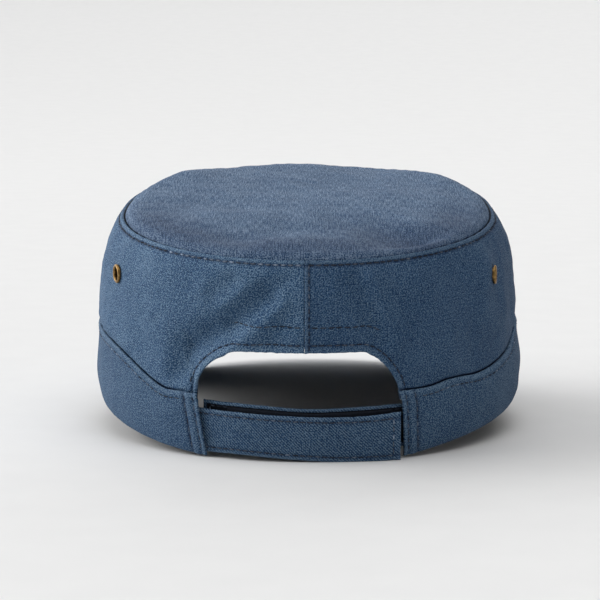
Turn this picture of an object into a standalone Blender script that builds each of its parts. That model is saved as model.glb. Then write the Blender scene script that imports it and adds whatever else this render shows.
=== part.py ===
"""A soft denim work cap with a flat oval top, a wrap-round band, a short peak and a strap at the back.

The cap is shaped in its own frame first: the rim lies in the XY plane, the peak points to -Y, the
opening is at +Y and the wearer's left is +X. An empty then stands the whole cap on the floor, where
it leans back a little because it rests on the strap and on the two low edges of the peak.
"""

import math

import bmesh
import bpy
import numpy as np
from mathutils import Matrix, Vector

# Crown: the half axes of its ring at the widest, and the heights of the seam round the top
HALF_WIDTH = 0.0905
BACK_DEPTH = 0.1013
FRONT_DEPTH = 0.0988
BACK_SQUARENESS = 2.085
FRONT_SQUARENESS = 2.22
FRONT_HEIGHT = 0.0825
BACK_HEIGHT = FRONT_HEIGHT * 0.95
TOP_RISE = 0.0054
RIM_ARCH = 0.0044
CLOTH = 0.0015

# Seams between pieces
GAP = 0.0003
TOP_SEAM_GAP = 0.0008
SIDE_SEAM_GAP = 0.0005

# Band
BAND_HEIGHT = 0.0350
BAND_WALL = 0.0015
BAND_LAP = 0.0048
CROWN_TUCK = 0.0004

# Opening at the back: its top, and its side edges at the level of the band's ends
OPENING_TOP = 0.0435
OPENING_LEFT = 0.0436
OPENING_RIGHT = 0.0384
OPENING_SILL_HALF = 0.0390
CORNER_LEVEL = 0.0270

# Straps and the fastener between them
STRAP_HEIGHT = 0.0180
STRAP_WALL = 0.0015
STRAP_STANDOFF = 0.0055
STRAP_TUCK = 0.0060
FREE_END_CLEARANCE = 0.0008
INNER_REACH = 0.0022
FASTENER_WALL = 0.0020
FASTENER_HEIGHT = 0.0150
FASTENER_LENGTH = 0.0660

# Peak: its root spreads this far to each side of the front, and it is trimmed before its thin ends
PEAK_LENGTH = 0.0580
PEAK_HALF_WIDTH = 0.0830
PEAK_WALL = 0.0028
PEAK_DROP = 0.0190
PEAK_ARCH = 0.0298
PEAK_CURVE = 3.0
PEAK_SPREAD = math.radians(64)
PEAK_ROUNDNESS = 2.3
PEAK_TRIM = 0.985
RIM_FADE = 0.5

# Eyelets
EYELET_HOLE = 0.0023
EYELET_BARREL = 0.0027
EYELET_FLANGE = 0.0042
EYELET_RIM = 0.0011
EYELET_LEVEL = 0.785
EYELET_DEGREES = {
    "left_rear": 62.7,
    "right_rear": -61.6,
    "left_front": 117.3,
    "right_front": -117.3,
}

# How far the soft edges press flat where they rest
PRESS = 0.0004

# Deepest and widest fold and dent for the shares in the tables below, how near a seam the folds die
# out, how firmly two folds that meet blend, and how near the top's seam its dents die out, as a share
# of its radius
FOLD_DEPTH = 0.0042
FOLD_WIDTH = 0.0078
FOLD_EDGE = 0.0090
DENT_DEPTH = 0.0022
FOLD_BLEND = 4
DENT_EDGE = 0.11

# The wall's rings: how high each one is, and its shares of the half width and of the two depths
RINGS = (
    # up, left, right, back, front
    (0.00, 0.990, 1.002, 0.997, 0.996),
    (0.05, 0.995, 1.010, 1.000, 0.999),
    (0.13, 1.002, 1.015, 1.001, 1.002),
    (0.27, 0.996, 1.004, 1.000, 1.000),
    (0.38, 0.992, 0.993, 0.997, 0.998),
    (0.45, 0.997, 0.998, 0.995, 1.000),
    (0.52, 1.001, 1.003, 0.991, 1.001),
    (0.60, 0.999, 1.001, 0.984, 0.998),
    (0.68, 0.992, 0.992, 0.974, 0.992),
    (0.78, 0.978, 0.977, 0.957, 0.979),
    (0.88, 0.953, 0.951, 0.933, 0.958),
    (0.95, 0.922, 0.920, 0.908, 0.935),
    (1.00, 0.886, 0.886, 0.880, 0.905),
)

# The rim's height above its plane, as shares of its arch, on the two sides
RIM = (
    # degrees from the back, left, right
    (0, 0.00, 0.00),
    (14, -0.10, -0.10),
    (26, -0.20, -0.16),
    (36, -0.10, 0.14),
    (46, 0.08, 0.36),
    (60, 0.34, 0.58),
    (75, 0.58, 0.72),
    (90, 0.74, 0.86),
    (115, 0.64, 0.72),
    (150, 0.20, 0.24),
    (180, 0.00, 0.00),
)

# The top: how far out each ring is, and its share of the rise above the seam, steep at the
# front and sides and gentle at the shoulder near the back, and where that shoulder runs
TOP_PROFILE = (
    # out, rise, rise at the near shoulder
    (0.00, 1.00, 1.00),
    (0.30, 1.00, 1.00),
    (0.52, 0.98, 0.97),
    (0.72, 0.92, 0.85),
    (0.86, 0.84, 0.60),
    (0.93, 0.69, 0.43),
    (0.97, 0.44, 0.31),
    (1.00, 0.00, 0.00),
)
SHOULDER = (
    # degrees from the back, left, right
    (0, 0.80, 0.80),
    (20, 0.70, 1.00),
    (45, 0.60, 1.00),
    (65, 0.35, 0.80),
    (85, 0.10, 0.25),
    (105, 0.00, 0.00),
    (180, 0.00, 0.00),
)

# The band's top edge above the rim, as shares of the band's height, on the two sides
BAND_EDGE = (
    # degrees from the back, left, right
    (0, 0.700, 0.760),
    (24, 0.700, 0.760),
    (33, 0.690, 0.755),
    (38, 0.680, 0.785),
    (43, 0.740, 0.780),
    (48, 0.820, 0.755),
    (55, 0.915, 0.755),
    (62, 0.970, 0.780),
    (70, 0.985, 0.830),
    (77, 0.980, 0.930),
    (85, 0.985, 0.990),
    (100, 1.000, 1.000),
    (180, 1.000, 1.000),
)

# Corners of the opening: the corner's shares of that side's width and of the height above the band
CORNERS = (
    # side, width, height, roundness
    (1, 0.39, 0.92, 1.50),
    (-1, 0.43, 1.52, 1.75),
)

# Valleys (depth over 0) and ridges (under 0) in the wall, from one end to the other
FOLDS = (
    # degrees from, up from, degrees to, up to, width share, depth share
    (35, 0.26, 30, 0.55, 0.80, 0.85),
    (30, 0.55, 19, 0.67, 0.85, 1.15),
    (19, 0.67, 9, 0.83, 0.80, 1.15),
    (9, 0.83, 5, 0.89, 0.70, 0.50),
    (20, 0.55, 13, 0.67, 0.80, -0.40),
    (13, 0.67, 6, 0.81, 0.70, -0.35),
    (8, 0.62, 4, 0.74, 0.60, 0.45),
    (23, 0.82, 19, 0.89, 0.60, 0.45),
    (52, 0.50, 58, 0.86, 1.80, 0.16),
    (-14, 0.90, -24, 0.50, 0.80, 0.45),
    (-9, 0.85, -17, 0.55, 0.80, -0.20),
    (-30, 0.86, -36, 0.48, 1.20, -0.30),
    (-44, 0.90, -50, 0.45, 1.60, 0.30),
    (-70, 0.80, -78, 0.48, 1.80, 0.22),
    (120, 0.55, 134, 0.84, 1.60, 0.35),
    (-128, 0.50, -140, 0.86, 1.60, 0.40),
    (160, 0.60, 172, 0.84, 1.40, 0.25),
    (-156, 0.62, -170, 0.80, 1.40, 0.20),
)

# Shallow dents (over 0) and swellings (under 0) of the top, placed by shares of its half axes
DENTS = (
    # across, along, half width, half length, turn, depth share
    (0.30, 0.15, 0.34, 0.10, 20, 0.50),
    (-0.32, -0.86, 0.22, 0.34, 0, 1.25),
    (0.28, 0.66, 0.11, 0.10, 0, 0.60),
    (0.06, 0.56, 0.12, 0.09, 10, 0.50),
    (-0.48, 0.60, 0.36, 0.17, 24, 1.00),
    (-0.30, 0.10, 0.40, 0.30, 0, -0.30),
    (0.54, -0.60, 0.26, 0.30, 30, -0.95),
    (-0.66, -0.52, 0.22, 0.30, -30, -0.80),
)

# The straps along their length, from the sewn end to the free end
OUTER_STRAP = (
    # along, standoff share, foot share, height share
    (0.00, -0.08, 0.010, 1.000),
    (0.09, 0.00, 0.025, 0.995),
    (0.22, 0.22, 0.060, 0.980),
    (0.50, 0.38, 0.018, 1.005),
    (0.74, 0.52, -0.045, 1.050),
    (0.90, 0.80, -0.052, 1.085),
    (1.00, 1.00, -0.052, 1.115),
)
INNER_STRAP = (
    # along, standoff share, foot share, height share
    (0.00, -0.06, 0.130, 1.000),
    (0.10, -0.12, 0.145, 1.000),
    (0.26, -0.20, 0.155, 1.000),
    (0.50, -0.31, 0.135, 1.000),
    (0.74, -0.44, 0.180, 1.000),
    (0.90, -0.68, 0.165, 1.000),
    (1.00, -0.88, 0.145, 1.000),
)

WALL_COLUMNS = 42
WALL_ROWS = 12
BAND_COLUMNS = 72
BAND_ROWS = 4
TOP_COLUMNS = 64
PEAK_COLUMNS = 26
PEAK_ROWS = 6
STRAP_COLUMNS = 20
STRAP_ROWS = 3
FASTENER_COLUMNS = 14
CORNER_STEPS = 9
EYELET_STEPS = 20
CUTTER_REACH = 0.030


def clear_scene():
    for old in list(bpy.data.objects):
        bpy.data.objects.remove(old, do_unlink=True)


def make_collection(name):
    made = bpy.data.collections.new(name)
    bpy.context.scene.collection.children.link(made)
    return made


def make_material(name, color, roughness, metallic=0.0):
    made = bpy.data.materials.new(name)
    made.use_nodes = True
    shader = made.node_tree.nodes["Principled BSDF"]
    shader.inputs["Base Color"].default_value = (*color, 1.0)
    shader.inputs["Roughness"].default_value = roughness
    shader.inputs["Metallic"].default_value = metallic
    return made


def column_curve(table, key, value):
    """A smooth curve through one column of a table, read at a place in another column."""
    keys = np.array([row[key] for row in table], float)
    values = np.array([row[value] for row in table], float)
    slopes = np.gradient(values, keys)

    def at(place):
        place = min(max(place, keys[0]), keys[-1])
        low = min(int(np.searchsorted(keys, place, "right")) - 1, len(keys) - 2)
        span = keys[low + 1] - keys[low]
        t = (place - keys[low]) / span
        start = values[low] * (1 + 2 * t) * (1 - t) ** 2 + slopes[low] * span * t * (1 - t) ** 2
        end = values[low + 1] * t * t * (3 - 2 * t) + slopes[low + 1] * span * t * t * (t - 1)
        return start + end

    return at


def ease(share):
    share = min(max(share, 0.0), 1.0)
    return share * share * (3 - 2 * share)


left_share = column_curve(RINGS, 0, 1)
right_share = column_curve(RINGS, 0, 2)
back_share = column_curve(RINGS, 0, 3)
front_share = column_curve(RINGS, 0, 4)
rim_left = column_curve(RIM, 0, 1)
rim_right = column_curve(RIM, 0, 2)
steep_rise = column_curve(TOP_PROFILE, 0, 1)
gentle_rise = column_curve(TOP_PROFILE, 0, 2)
shoulder_left = column_curve(SHOULDER, 0, 1)
shoulder_right = column_curve(SHOULDER, 0, 2)
band_edge_left = column_curve(BAND_EDGE, 0, 1)
band_edge_right = column_curve(BAND_EDGE, 0, 2)


def oval(angle, side, back, front):
    """A point of an oval with its own depth at the back and at the front. Angle 0 is the back."""
    sine, cosine = math.sin(angle), math.cos(angle)
    depth = back if cosine > 0 else front
    power = 2 / (BACK_SQUARENESS if cosine > 0 else FRONT_SQUARENESS)
    across = math.copysign(abs(sine) ** power, sine)
    along = math.copysign(abs(cosine) ** power, cosine)
    return side * across, depth * along


def degrees_from_back(angle):
    """An angle in degrees from -180 to 180, over 0 on the left side."""
    return math.degrees(math.atan2(math.sin(angle), math.cos(angle)))


def side_depth(angle, up):
    share = left_share if degrees_from_back(angle) > 0 else right_share
    return HALF_WIDTH * share(up)


def rim_height(angle):
    turned = degrees_from_back(angle)
    share = rim_left(turned) if turned > 0 else rim_right(-turned)
    return RIM_ARCH * share


def seam_height(along):
    """The top seam's height at a distance along the cap: a plane from the back to the front."""
    back = BACK_DEPTH * back_share(1)
    front = FRONT_DEPTH * front_share(1)
    share = (back - along) / (back + front)
    return BACK_HEIGHT + (FRONT_HEIGHT - BACK_HEIGHT) * share


def wall_height(angle):
    along = oval(angle, HALF_WIDTH, BACK_DEPTH * back_share(1), FRONT_DEPTH * front_share(1))[1]
    return seam_height(along) - rim_height(angle)


def level_of(angle, height):
    return (height - rim_height(angle)) / wall_height(angle)


def wall_point(angle, up, out=0.0):
    """A point of the smooth wall, moved out by a distance."""
    x, y = oval(
        angle,
        side_depth(angle, up) + out,
        BACK_DEPTH * back_share(up) + out,
        FRONT_DEPTH * front_share(up) + out,
    )
    return Vector((x, y, rim_height(angle) + wall_height(angle) * up))


def band_edge_height(angle):
    turned = degrees_from_back(angle)
    share = band_edge_left(turned) if turned > 0 else band_edge_right(-turned)
    return BAND_HEIGHT * share


def fold_depth(angle, up):
    """How far the folds push the wall in. They die out at the seams, which are stiff."""
    height = wall_height(angle)
    place = Vector((angle * HALF_WIDTH, up * height))
    valleys = 0.0
    ridges = 0.0
    for start, low, end, high, width, share in FOLDS:
        first = Vector((math.radians(start) * HALF_WIDTH, low * height))
        run = Vector((math.radians(end) * HALF_WIDTH, high * height)) - first
        along = min(max((place - first).dot(run) / run.length_squared, 0.0), 1.0)
        away = (place - first - run * along).length
        here = abs(share) * math.exp(-((away / (FOLD_WIDTH * width)) ** 2))
        if share > 0:
            valleys += here**FOLD_BLEND
        else:
            ridges += here**FOLD_BLEND
    depth = FOLD_DEPTH * (valleys ** (1 / FOLD_BLEND) - ridges ** (1 / FOLD_BLEND))
    beside_seam = ease(abs(math.sin(angle)) * HALF_WIDTH / FOLD_EDGE)
    return depth * beside_seam * ease((1 - up) * height / FOLD_EDGE)


def crown_wall_point(angle, up):
    height = rim_height(angle) + wall_height(angle) * up
    above_band = height - band_edge_height(angle)
    tucked = CROWN_TUCK * ease(1 - above_band / BAND_LAP)
    free = ease(above_band / (2 * BAND_LAP))
    return wall_point(angle, up, -tucked - free * fold_depth(angle, up))


def top_rise(angle, out):
    turned = degrees_from_back(angle)
    share = shoulder_left(turned) if turned > 0 else shoulder_right(-turned)
    return TOP_RISE * (steep_rise(out) + (gentle_rise(out) - steep_rise(out)) * share)


def top_point(angle, out):
    """A point of the top, from its middle (out 0) to the seam (out 1)."""
    edge = 1 - TOP_SEAM_GAP / HALF_WIDTH
    x, y = oval(
        angle,
        side_depth(angle, 1) * out * edge,
        BACK_DEPTH * back_share(1) * out * edge,
        FRONT_DEPTH * front_share(1) * out * edge,
    )
    dent = 0.0
    for across, along, half_width, half_length, turn, share in DENTS:
        away = Vector((x / HALF_WIDTH - across, y / BACK_DEPTH - along))
        away.rotate(Matrix.Rotation(math.radians(turn), 2))
        dent += share * math.exp(-((away.x / half_width) ** 2) - (away.y / half_length) ** 2)
    rise = top_rise(angle, out) - DENT_DEPTH * dent * ease((1 - out) / DENT_EDGE)
    return Vector((x, y, seam_height(y) + rise))


def sheet(columns, rows, place):
    """An open surface: Blender's grid, with each vertex put where place(u, v) says."""
    made = bmesh.new()
    bmesh.ops.create_grid(made, x_segments=columns, y_segments=rows, size=1)
    for vertex in made.verts:
        vertex.co = place((vertex.co.x + 1) / 2, (vertex.co.y + 1) / 2)
    bmesh.ops.remove_doubles(made, verts=made.verts, dist=0.00002)
    bmesh.ops.dissolve_degenerate(made, edges=made.edges, dist=0.00001)
    return made


def add_object(name, built, collection, parent, material=None):
    mesh = bpy.data.meshes.new(name)
    built.to_mesh(mesh)
    built.free()
    made = bpy.data.objects.new(name, mesh)
    collection.objects.link(made)
    made.parent = parent
    if material:
        mesh.materials.append(material)
    return made


def thicken(piece, wall):
    """Give an open surface its wall, on the inner side of its outer face."""
    solid = piece.modifiers.new("wall", "SOLIDIFY")
    solid.thickness = wall
    solid.offset = -1
    piece.data.shade_smooth()
    piece.data.set_sharp_from_angle(angle=math.radians(50))


def cut(piece, cutter):
    hole = piece.modifiers.new("cut_" + cutter.name, "BOOLEAN")
    hole.operation = "DIFFERENCE"
    hole.solver = "EXACT"
    hole.object = cutter


def as_cutter(piece):
    piece.hide_render = True
    piece.display_type = "WIRE"
    return piece


def opening_outline():
    """The opening seen from behind: straight sides below, rounded corners, a nearly flat top."""
    points = []
    for side, width, height, roundness in CORNERS:
        edge = OPENING_LEFT if side > 0 else OPENING_RIGHT
        across = edge * width
        up = (OPENING_TOP - CORNER_LEVEL) * height
        corner = [(side * OPENING_SILL_HALF, -CUTTER_REACH), (side * OPENING_SILL_HALF, 0.0)]
        for step in range(CORNER_STEPS + 1):
            turn = step / CORNER_STEPS * math.pi / 2
            x = edge - across + across * math.cos(turn) ** (2 / roundness)
            z = OPENING_TOP - up + up * math.sin(turn) ** (2 / roundness)
            corner.append((side * x, z))
        points += corner if side > 0 else corner[::-1]
    return points


def make_opening_cutter(collection, parent):
    built = bmesh.new()
    near = HALF_WIDTH / 2
    far = BACK_DEPTH + CUTTER_REACH
    outline = [built.verts.new((x, near, z)) for x, z in opening_outline()]
    face = built.faces.new(outline)
    pushed = bmesh.ops.extrude_face_region(built, geom=[face])["geom"]
    moved = [item for item in pushed if isinstance(item, bmesh.types.BMVert)]
    bmesh.ops.translate(built, verts=moved, vec=(0, far - near, 0))
    bmesh.ops.recalc_face_normals(built, faces=built.faces)
    return as_cutter(add_object("opening_cutter", built, collection, parent))


def make_sides(collection, parent, cutter, material):
    seam = math.asin(SIDE_SEAM_GAP / 2 / HALF_WIDTH)
    made = {}
    for name, side in (("side_left", 1), ("side_right", -1)):

        def place(u, v, side=side):
            angle = seam + (math.pi - 2 * seam) * (1 - u if side > 0 else u)
            low = level_of(angle * side, band_edge_height(angle * side) - BAND_LAP)
            high = 1 - TOP_SEAM_GAP / 2 / BACK_HEIGHT
            return crown_wall_point(angle * side, low + (high - low) * v)

        panel = add_object(name, sheet(WALL_COLUMNS, WALL_ROWS, place), collection, parent, material)
        thicken(panel, CLOTH)
        cut(panel, cutter)
        made[name] = panel
    return made


def make_top(collection, parent, material):
    rings = [row[0] for row in reversed(TOP_PROFILE)]

    def place(u, v):
        return top_point(2 * math.pi * (1 - u), rings[round(v * (len(rings) - 1))])

    top = add_object("crown_top", sheet(TOP_COLUMNS, len(rings) - 1, place), collection, parent, material)
    thicken(top, CLOTH)
    return top


def make_band(collection, parent, cutter, material):
    def place(u, v):
        angle = 2 * math.pi * (1 - u)
        low = rim_height(angle)
        height = low + (band_edge_height(angle) - low) * v
        return wall_point(angle, level_of(angle, height), GAP + BAND_WALL)

    band = add_object("band", sheet(BAND_COLUMNS, BAND_ROWS, place), collection, parent, material)
    thicken(band, BAND_WALL)
    cut(band, cutter)
    return band


def strap_face(table, start, end):
    """The outer face of a strap: place(u, v) with u from its sewn end to its free end."""
    standoff = column_curve(table, 0, 1)
    foot = column_curve(table, 0, 2)
    tall = column_curve(table, 0, 3)

    def place(along, v):
        x = start + (end - start) * along
        share = min(abs(x) / HALF_WIDTH, 1.0)
        ring = BACK_DEPTH * (1 - share**BACK_SQUARENESS) ** (1 / BACK_SQUARENESS)
        z = STRAP_HEIGHT * (foot(along) + tall(along) * v)
        return Vector((x, ring + STRAP_STANDOFF * standoff(along), z))

    return place


def make_straps(collection, parent, material):
    left_end = OPENING_SILL_HALF + STRAP_TUCK
    right_end = -OPENING_SILL_HALF + FREE_END_CLEARANCE
    outer = strap_face(OUTER_STRAP, left_end, right_end)
    inner = strap_face(INNER_STRAP, -left_end, OPENING_SILL_HALF + INNER_REACH)
    made = {}
    grid = sheet(STRAP_COLUMNS, STRAP_ROWS, outer)
    made["strap_outer"] = add_object("strap_outer", grid, collection, parent, material)
    grid = sheet(STRAP_COLUMNS, STRAP_ROWS, lambda u, v: inner(1 - u, v))
    made["strap_inner"] = add_object("strap_inner", grid, collection, parent, material)
    for strap in made.values():
        thicken(strap, STRAP_WALL)
    return made, inner


def make_fastener(collection, parent, inner, material):
    """The pad between the straps follows the inner strap's outer face."""
    whole = 2 * OPENING_SILL_HALF + STRAP_TUCK + INNER_REACH
    half = FASTENER_LENGTH / 2 / whole

    def place(u, v):
        point = inner(0.5 + half * (1 - 2 * u), 0.5)
        point.y += GAP + FASTENER_WALL
        point.z += FASTENER_HEIGHT * (v - 0.5)
        return point

    pad = add_object("strap_fastener", sheet(FASTENER_COLUMNS, 1, place), collection, parent, material)
    thicken(pad, FASTENER_WALL)
    return pad


def peak_point(across, out):
    """A point of the peak's upper face: across from -1 to 1, out from the band to the front edge.

    Its root lies just under the band's lower edge, whose arch dies out along the peak.
    """
    angle = math.pi - across * PEAK_SPREAD
    under = -BAND_WALL
    root_x, root_y = oval(angle, HALF_WIDTH + under, BACK_DEPTH + under, FRONT_DEPTH + under)
    turn = across * math.pi / 2
    power = 2 / PEAK_ROUNDNESS
    end_y = oval(math.pi - PEAK_SPREAD, HALF_WIDTH, BACK_DEPTH, FRONT_DEPTH)[1]
    tip_x = PEAK_HALF_WIDTH * math.copysign(abs(math.sin(turn)) ** power, turn)
    reach = FRONT_DEPTH + PEAK_LENGTH + end_y
    tip_y = end_y - reach * abs(math.cos(turn)) ** power
    x = root_x + (tip_x - root_x) * out
    y = root_y + (tip_y - root_y) * out
    run = math.hypot(x - root_x, y - root_y) / PEAK_LENGTH
    drop = PEAK_DROP * run + PEAK_ARCH * abs(x / PEAK_HALF_WIDTH) ** PEAK_CURVE * run
    rim = rim_height(angle) * (1 - ease(run / RIM_FADE))
    return Vector((x, y, rim - GAP - drop))


def make_peak(collection, parent, material):
    def place(u, v):
        return peak_point(PEAK_TRIM * (2 * u - 1), 1 - v)

    peak = add_object("peak", sheet(PEAK_COLUMNS, PEAK_ROWS, place), collection, parent, material)
    thicken(peak, PEAK_WALL)
    return peak


def eyelet_profile():
    """Half of the eyelet's section, down its outer side and up its bore: radius and height."""
    lip = EYELET_RIM
    low = -CLOTH - 2 * GAP
    return [
        (EYELET_FLANGE - lip * 0.45, lip),
        (EYELET_FLANGE - lip * 0.05, lip * 0.55),
        (EYELET_FLANGE, 0.0),
        (EYELET_BARREL, 0.0),
        (EYELET_BARREL, low),
        (EYELET_FLANGE * 0.95, low),
        (EYELET_FLANGE * 0.93, low - lip * 0.6),
        (EYELET_HOLE, low - lip * 0.6),
        (EYELET_HOLE, lip * 0.45),
        (EYELET_HOLE + lip * 0.35, lip * 0.95),
    ]


def outward_at(angle, up):
    """A frame on the wall: its Z axis points out of the cloth."""
    here = crown_wall_point(angle, up)
    step = 0.02
    aside = crown_wall_point(angle + step, up) - crown_wall_point(angle - step, up)
    above = crown_wall_point(angle, up + step) - crown_wall_point(angle, up - step)
    normal = above.cross(aside).normalized()
    if normal.x * here.x < 0:
        normal.negate()
    side = above.cross(normal).normalized()
    turned = Matrix((side, normal.cross(side), normal)).transposed()
    return Matrix.Translation(here + normal * GAP) @ turned.to_4x4()


def make_eyelets(collection, cutters, parent, sides, material):
    made = []
    for place, degrees in EYELET_DEGREES.items():
        name = "eyelet_" + place
        frame = outward_at(math.radians(degrees), EYELET_LEVEL)

        hole = bmesh.new()
        bmesh.ops.create_cone(
            hole,
            cap_ends=True,
            segments=EYELET_STEPS,
            radius1=EYELET_BARREL + GAP,
            radius2=EYELET_BARREL + GAP,
            depth=CUTTER_REACH,
        )
        cutter = as_cutter(add_object("hole_" + name, hole, cutters, parent))
        cutter.matrix_local = frame
        cut(sides["side_left" if degrees > 0 else "side_right"], cutter)

        profile = bmesh.new()
        loop = [profile.verts.new((radius, 0, height)) for radius, height in eyelet_profile()]
        for one, two in zip(loop, loop[1:] + loop[:1]):
            profile.edges.new((one, two))
        eyelet = add_object(name, profile, collection, parent, material)
        eyelet.matrix_local = frame
        turned = eyelet.modifiers.new("turned", "SCREW")
        turned.axis = "Z"
        turned.steps = EYELET_STEPS
        turned.render_steps = EYELET_STEPS
        turned.use_merge_vertices = True
        turned.merge_threshold = 0.00001
        made.append(eyelet)
    return made


def solid_points(piece):
    """The points of a piece's finished solid, in the frame of the cap."""
    graph = bpy.context.evaluated_depsgraph_get()
    evaluated = piece.evaluated_get(graph)
    mesh = evaluated.to_mesh()
    points = np.array([piece.matrix_local @ vertex.co for vertex in mesh.vertices])
    evaluated.to_mesh_clear()
    return points


def stand_on_floor(cap, pieces):
    """Lean the cap back until the strap and the peak rest together, then centre it on the origin."""
    bpy.context.view_layer.update()
    points = {piece.name: solid_points(piece) for piece in pieces}
    behind = points["strap_outer"]
    ahead = points["peak"]

    def heights(cloud, lean):
        return cloud[:, 2] * math.cos(lean) - cloud[:, 1] * math.sin(lean)

    low, high = 0.0, math.radians(30)
    for _ in range(40):
        lean = (low + high) / 2
        if heights(ahead, lean).min() < heights(behind, lean).min():
            low = lean
        else:
            high = lean
    everything = np.vstack(list(points.values()))
    along = everything[:, 1] * math.cos(lean) + everything[:, 2] * math.sin(lean)
    across = everything[:, 0]
    cap.rotation_euler = (-lean, 0, 0)
    cap.location = (
        -(across.min() + across.max()) / 2,
        -(along.min() + along.max()) / 2,
        -heights(everything, lean).min() - PRESS,
    )


def make_floor_cutter(collection):
    """A block below the floor, which flattens the edges that rest on it."""
    side = 4 * HALF_WIDTH
    built = bmesh.new()
    bmesh.ops.create_cube(built, size=side)
    bmesh.ops.translate(built, verts=built.verts, vec=(0, 0, -side / 2))
    return as_cutter(add_object("floor_cutter", built, collection, None))


def main():
    clear_scene()
    parts = make_collection("work_cap")
    cutters = make_collection("cutters")
    cap = bpy.data.objects.new("cap_rest", None)
    parts.objects.link(cap)

    denim = make_material("denim", (0.085, 0.150, 0.250), 0.90)
    denim_top = make_material("denim_top", (0.110, 0.165, 0.250), 0.90)
    denim_band = make_material("denim_band", (0.075, 0.135, 0.230), 0.90)
    peak_cloth = make_material("peak_cloth", (0.085, 0.145, 0.240), 0.88)
    strap_cloth = make_material("strap_cloth", (0.080, 0.140, 0.240), 0.90)
    hook_tape = make_material("hook_tape", (0.015, 0.020, 0.035), 0.95)
    brass = make_material("brass", (0.380, 0.230, 0.080), 0.38, 1.0)

    opening = make_opening_cutter(cutters, cap)
    sides = make_sides(parts, cap, opening, denim)
    top = make_top(parts, cap, denim_top)
    band = make_band(parts, cap, opening, denim_band)
    straps, inner = make_straps(parts, cap, strap_cloth)
    fastener = make_fastener(parts, cap, inner, hook_tape)
    peak = make_peak(parts, cap, peak_cloth)
    eyelets = make_eyelets(parts, cutters, cap, sides, brass)

    cloth = [*sides.values(), top, band, *straps.values(), fastener, peak]
    stand_on_floor(cap, cloth + eyelets)
    floor = make_floor_cutter(cutters)
    for piece in (straps["strap_outer"], peak):
        cut(piece, floor)


main()
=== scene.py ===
"""Looks of the soft work cap: its cloth with seams and folds, stitches, eyelets, floor, light and camera.

The cloth is made in the cap's own frame, where the rim lies in the XY plane, the peak points to -Y and
the wearer's left is +X. Its main forms repeat those of the solids that it stands for. The last step of
each piece leans it back as the solids lean.
"""

import math

import bmesh
import bpy
import numpy as np
from mathutils import Matrix, Vector


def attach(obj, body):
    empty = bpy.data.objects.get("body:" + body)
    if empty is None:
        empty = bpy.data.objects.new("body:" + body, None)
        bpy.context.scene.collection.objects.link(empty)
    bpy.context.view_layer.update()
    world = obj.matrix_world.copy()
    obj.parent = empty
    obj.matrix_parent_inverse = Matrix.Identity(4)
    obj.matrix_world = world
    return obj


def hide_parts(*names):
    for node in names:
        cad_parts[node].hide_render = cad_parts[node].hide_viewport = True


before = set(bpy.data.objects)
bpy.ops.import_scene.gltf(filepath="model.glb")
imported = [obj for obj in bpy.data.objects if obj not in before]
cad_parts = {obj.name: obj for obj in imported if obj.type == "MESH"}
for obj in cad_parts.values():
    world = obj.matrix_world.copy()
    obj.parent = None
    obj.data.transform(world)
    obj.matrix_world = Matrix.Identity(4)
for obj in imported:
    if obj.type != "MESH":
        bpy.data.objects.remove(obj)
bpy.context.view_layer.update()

# Crown, as in the solids, in metres like all lengths here
HALF_WIDTH = 0.0905
BACK_DEPTH = 0.1013
FRONT_DEPTH = 0.0988
BACK_SQUARENESS = 2.085
FRONT_SQUARENESS = 2.22
FRONT_HEIGHT = 0.0825
BACK_HEIGHT = FRONT_HEIGHT * 0.95
TOP_RISE = 0.0054
RIM_ARCH = 0.0044
CLOTH = 0.0015
GAP = 0.0003

# Band, opening, straps and fastener, as in the solids
BAND_HEIGHT = 0.0350
BAND_WALL = 0.0015
BAND_LAP = 0.0048
CROWN_TUCK = 0.0004
OPENING_TOP = 0.0435
OPENING_LEFT = 0.0436
OPENING_RIGHT = 0.0384
OPENING_SILL_HALF = 0.0390
CORNER_LEVEL = 0.0270
STRAP_HEIGHT = 0.0180
STRAP_WALL = 0.0015
STRAP_STANDOFF = 0.0055
STRAP_TUCK = 0.0060
FREE_END_CLEARANCE = 0.0008
INNER_REACH = 0.0022
FASTENER_WALL = 0.0020
FASTENER_HEIGHT = 0.0150
FASTENER_LENGTH = 0.0660
FASTENER_EASE = 0.0001
OUTER_LENGTH = 2 * OPENING_SILL_HALF + STRAP_TUCK - FREE_END_CLEARANCE
INNER_LENGTH = 2 * OPENING_SILL_HALF + STRAP_TUCK + INNER_REACH

# Peak, as in the solids, and eyelets, with thinner rings
PEAK_LENGTH = 0.0580
PEAK_HALF_WIDTH = 0.0830
PEAK_WALL = 0.0028
PEAK_DROP = 0.0190
PEAK_ARCH = 0.0298
PEAK_CURVE = 3.0
PEAK_SPREAD = math.radians(64)
PEAK_ROUNDNESS = 2.3
PEAK_TRIM = 0.985
RIM_FADE = 0.5
EYELET_HOLE = 0.0027
EYELET_BARREL = 0.0030
EYELET_FLANGE = 0.0040
EYELET_RIM = 0.0009
EYELET_LEVEL = 0.785
EYELETS = (
    # name, degrees from the back, degrees turned to the side, degrees turned down
    ("left_rear", 62.7, 5, 13),
    ("right_rear", -61.6, 16, 13),
    ("left_front", 117.3, 0, 0),
    ("right_front", -117.3, 0, 0),
)
EYELET_TILT_REACH = 0.0085
EYELET_CUT = EYELET_BARREL + 0.0002
EYELET_SIDES = 56

# Folds and dents, near those of the solids
FOLD_DEPTH = 0.0042
FOLD_WIDTH = 0.0078
FOLD_EDGE = 0.0090
DENT_DEPTH = 0.0022
FOLD_BLEND = 4
DENT_EDGE = 0.11

# How the solids stand on the floor
LEAN = -0.1197609081864357
REST_PLACE = (0.0006369203329086304, 0.026538871228694916, 0.01270387414842844)

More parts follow.
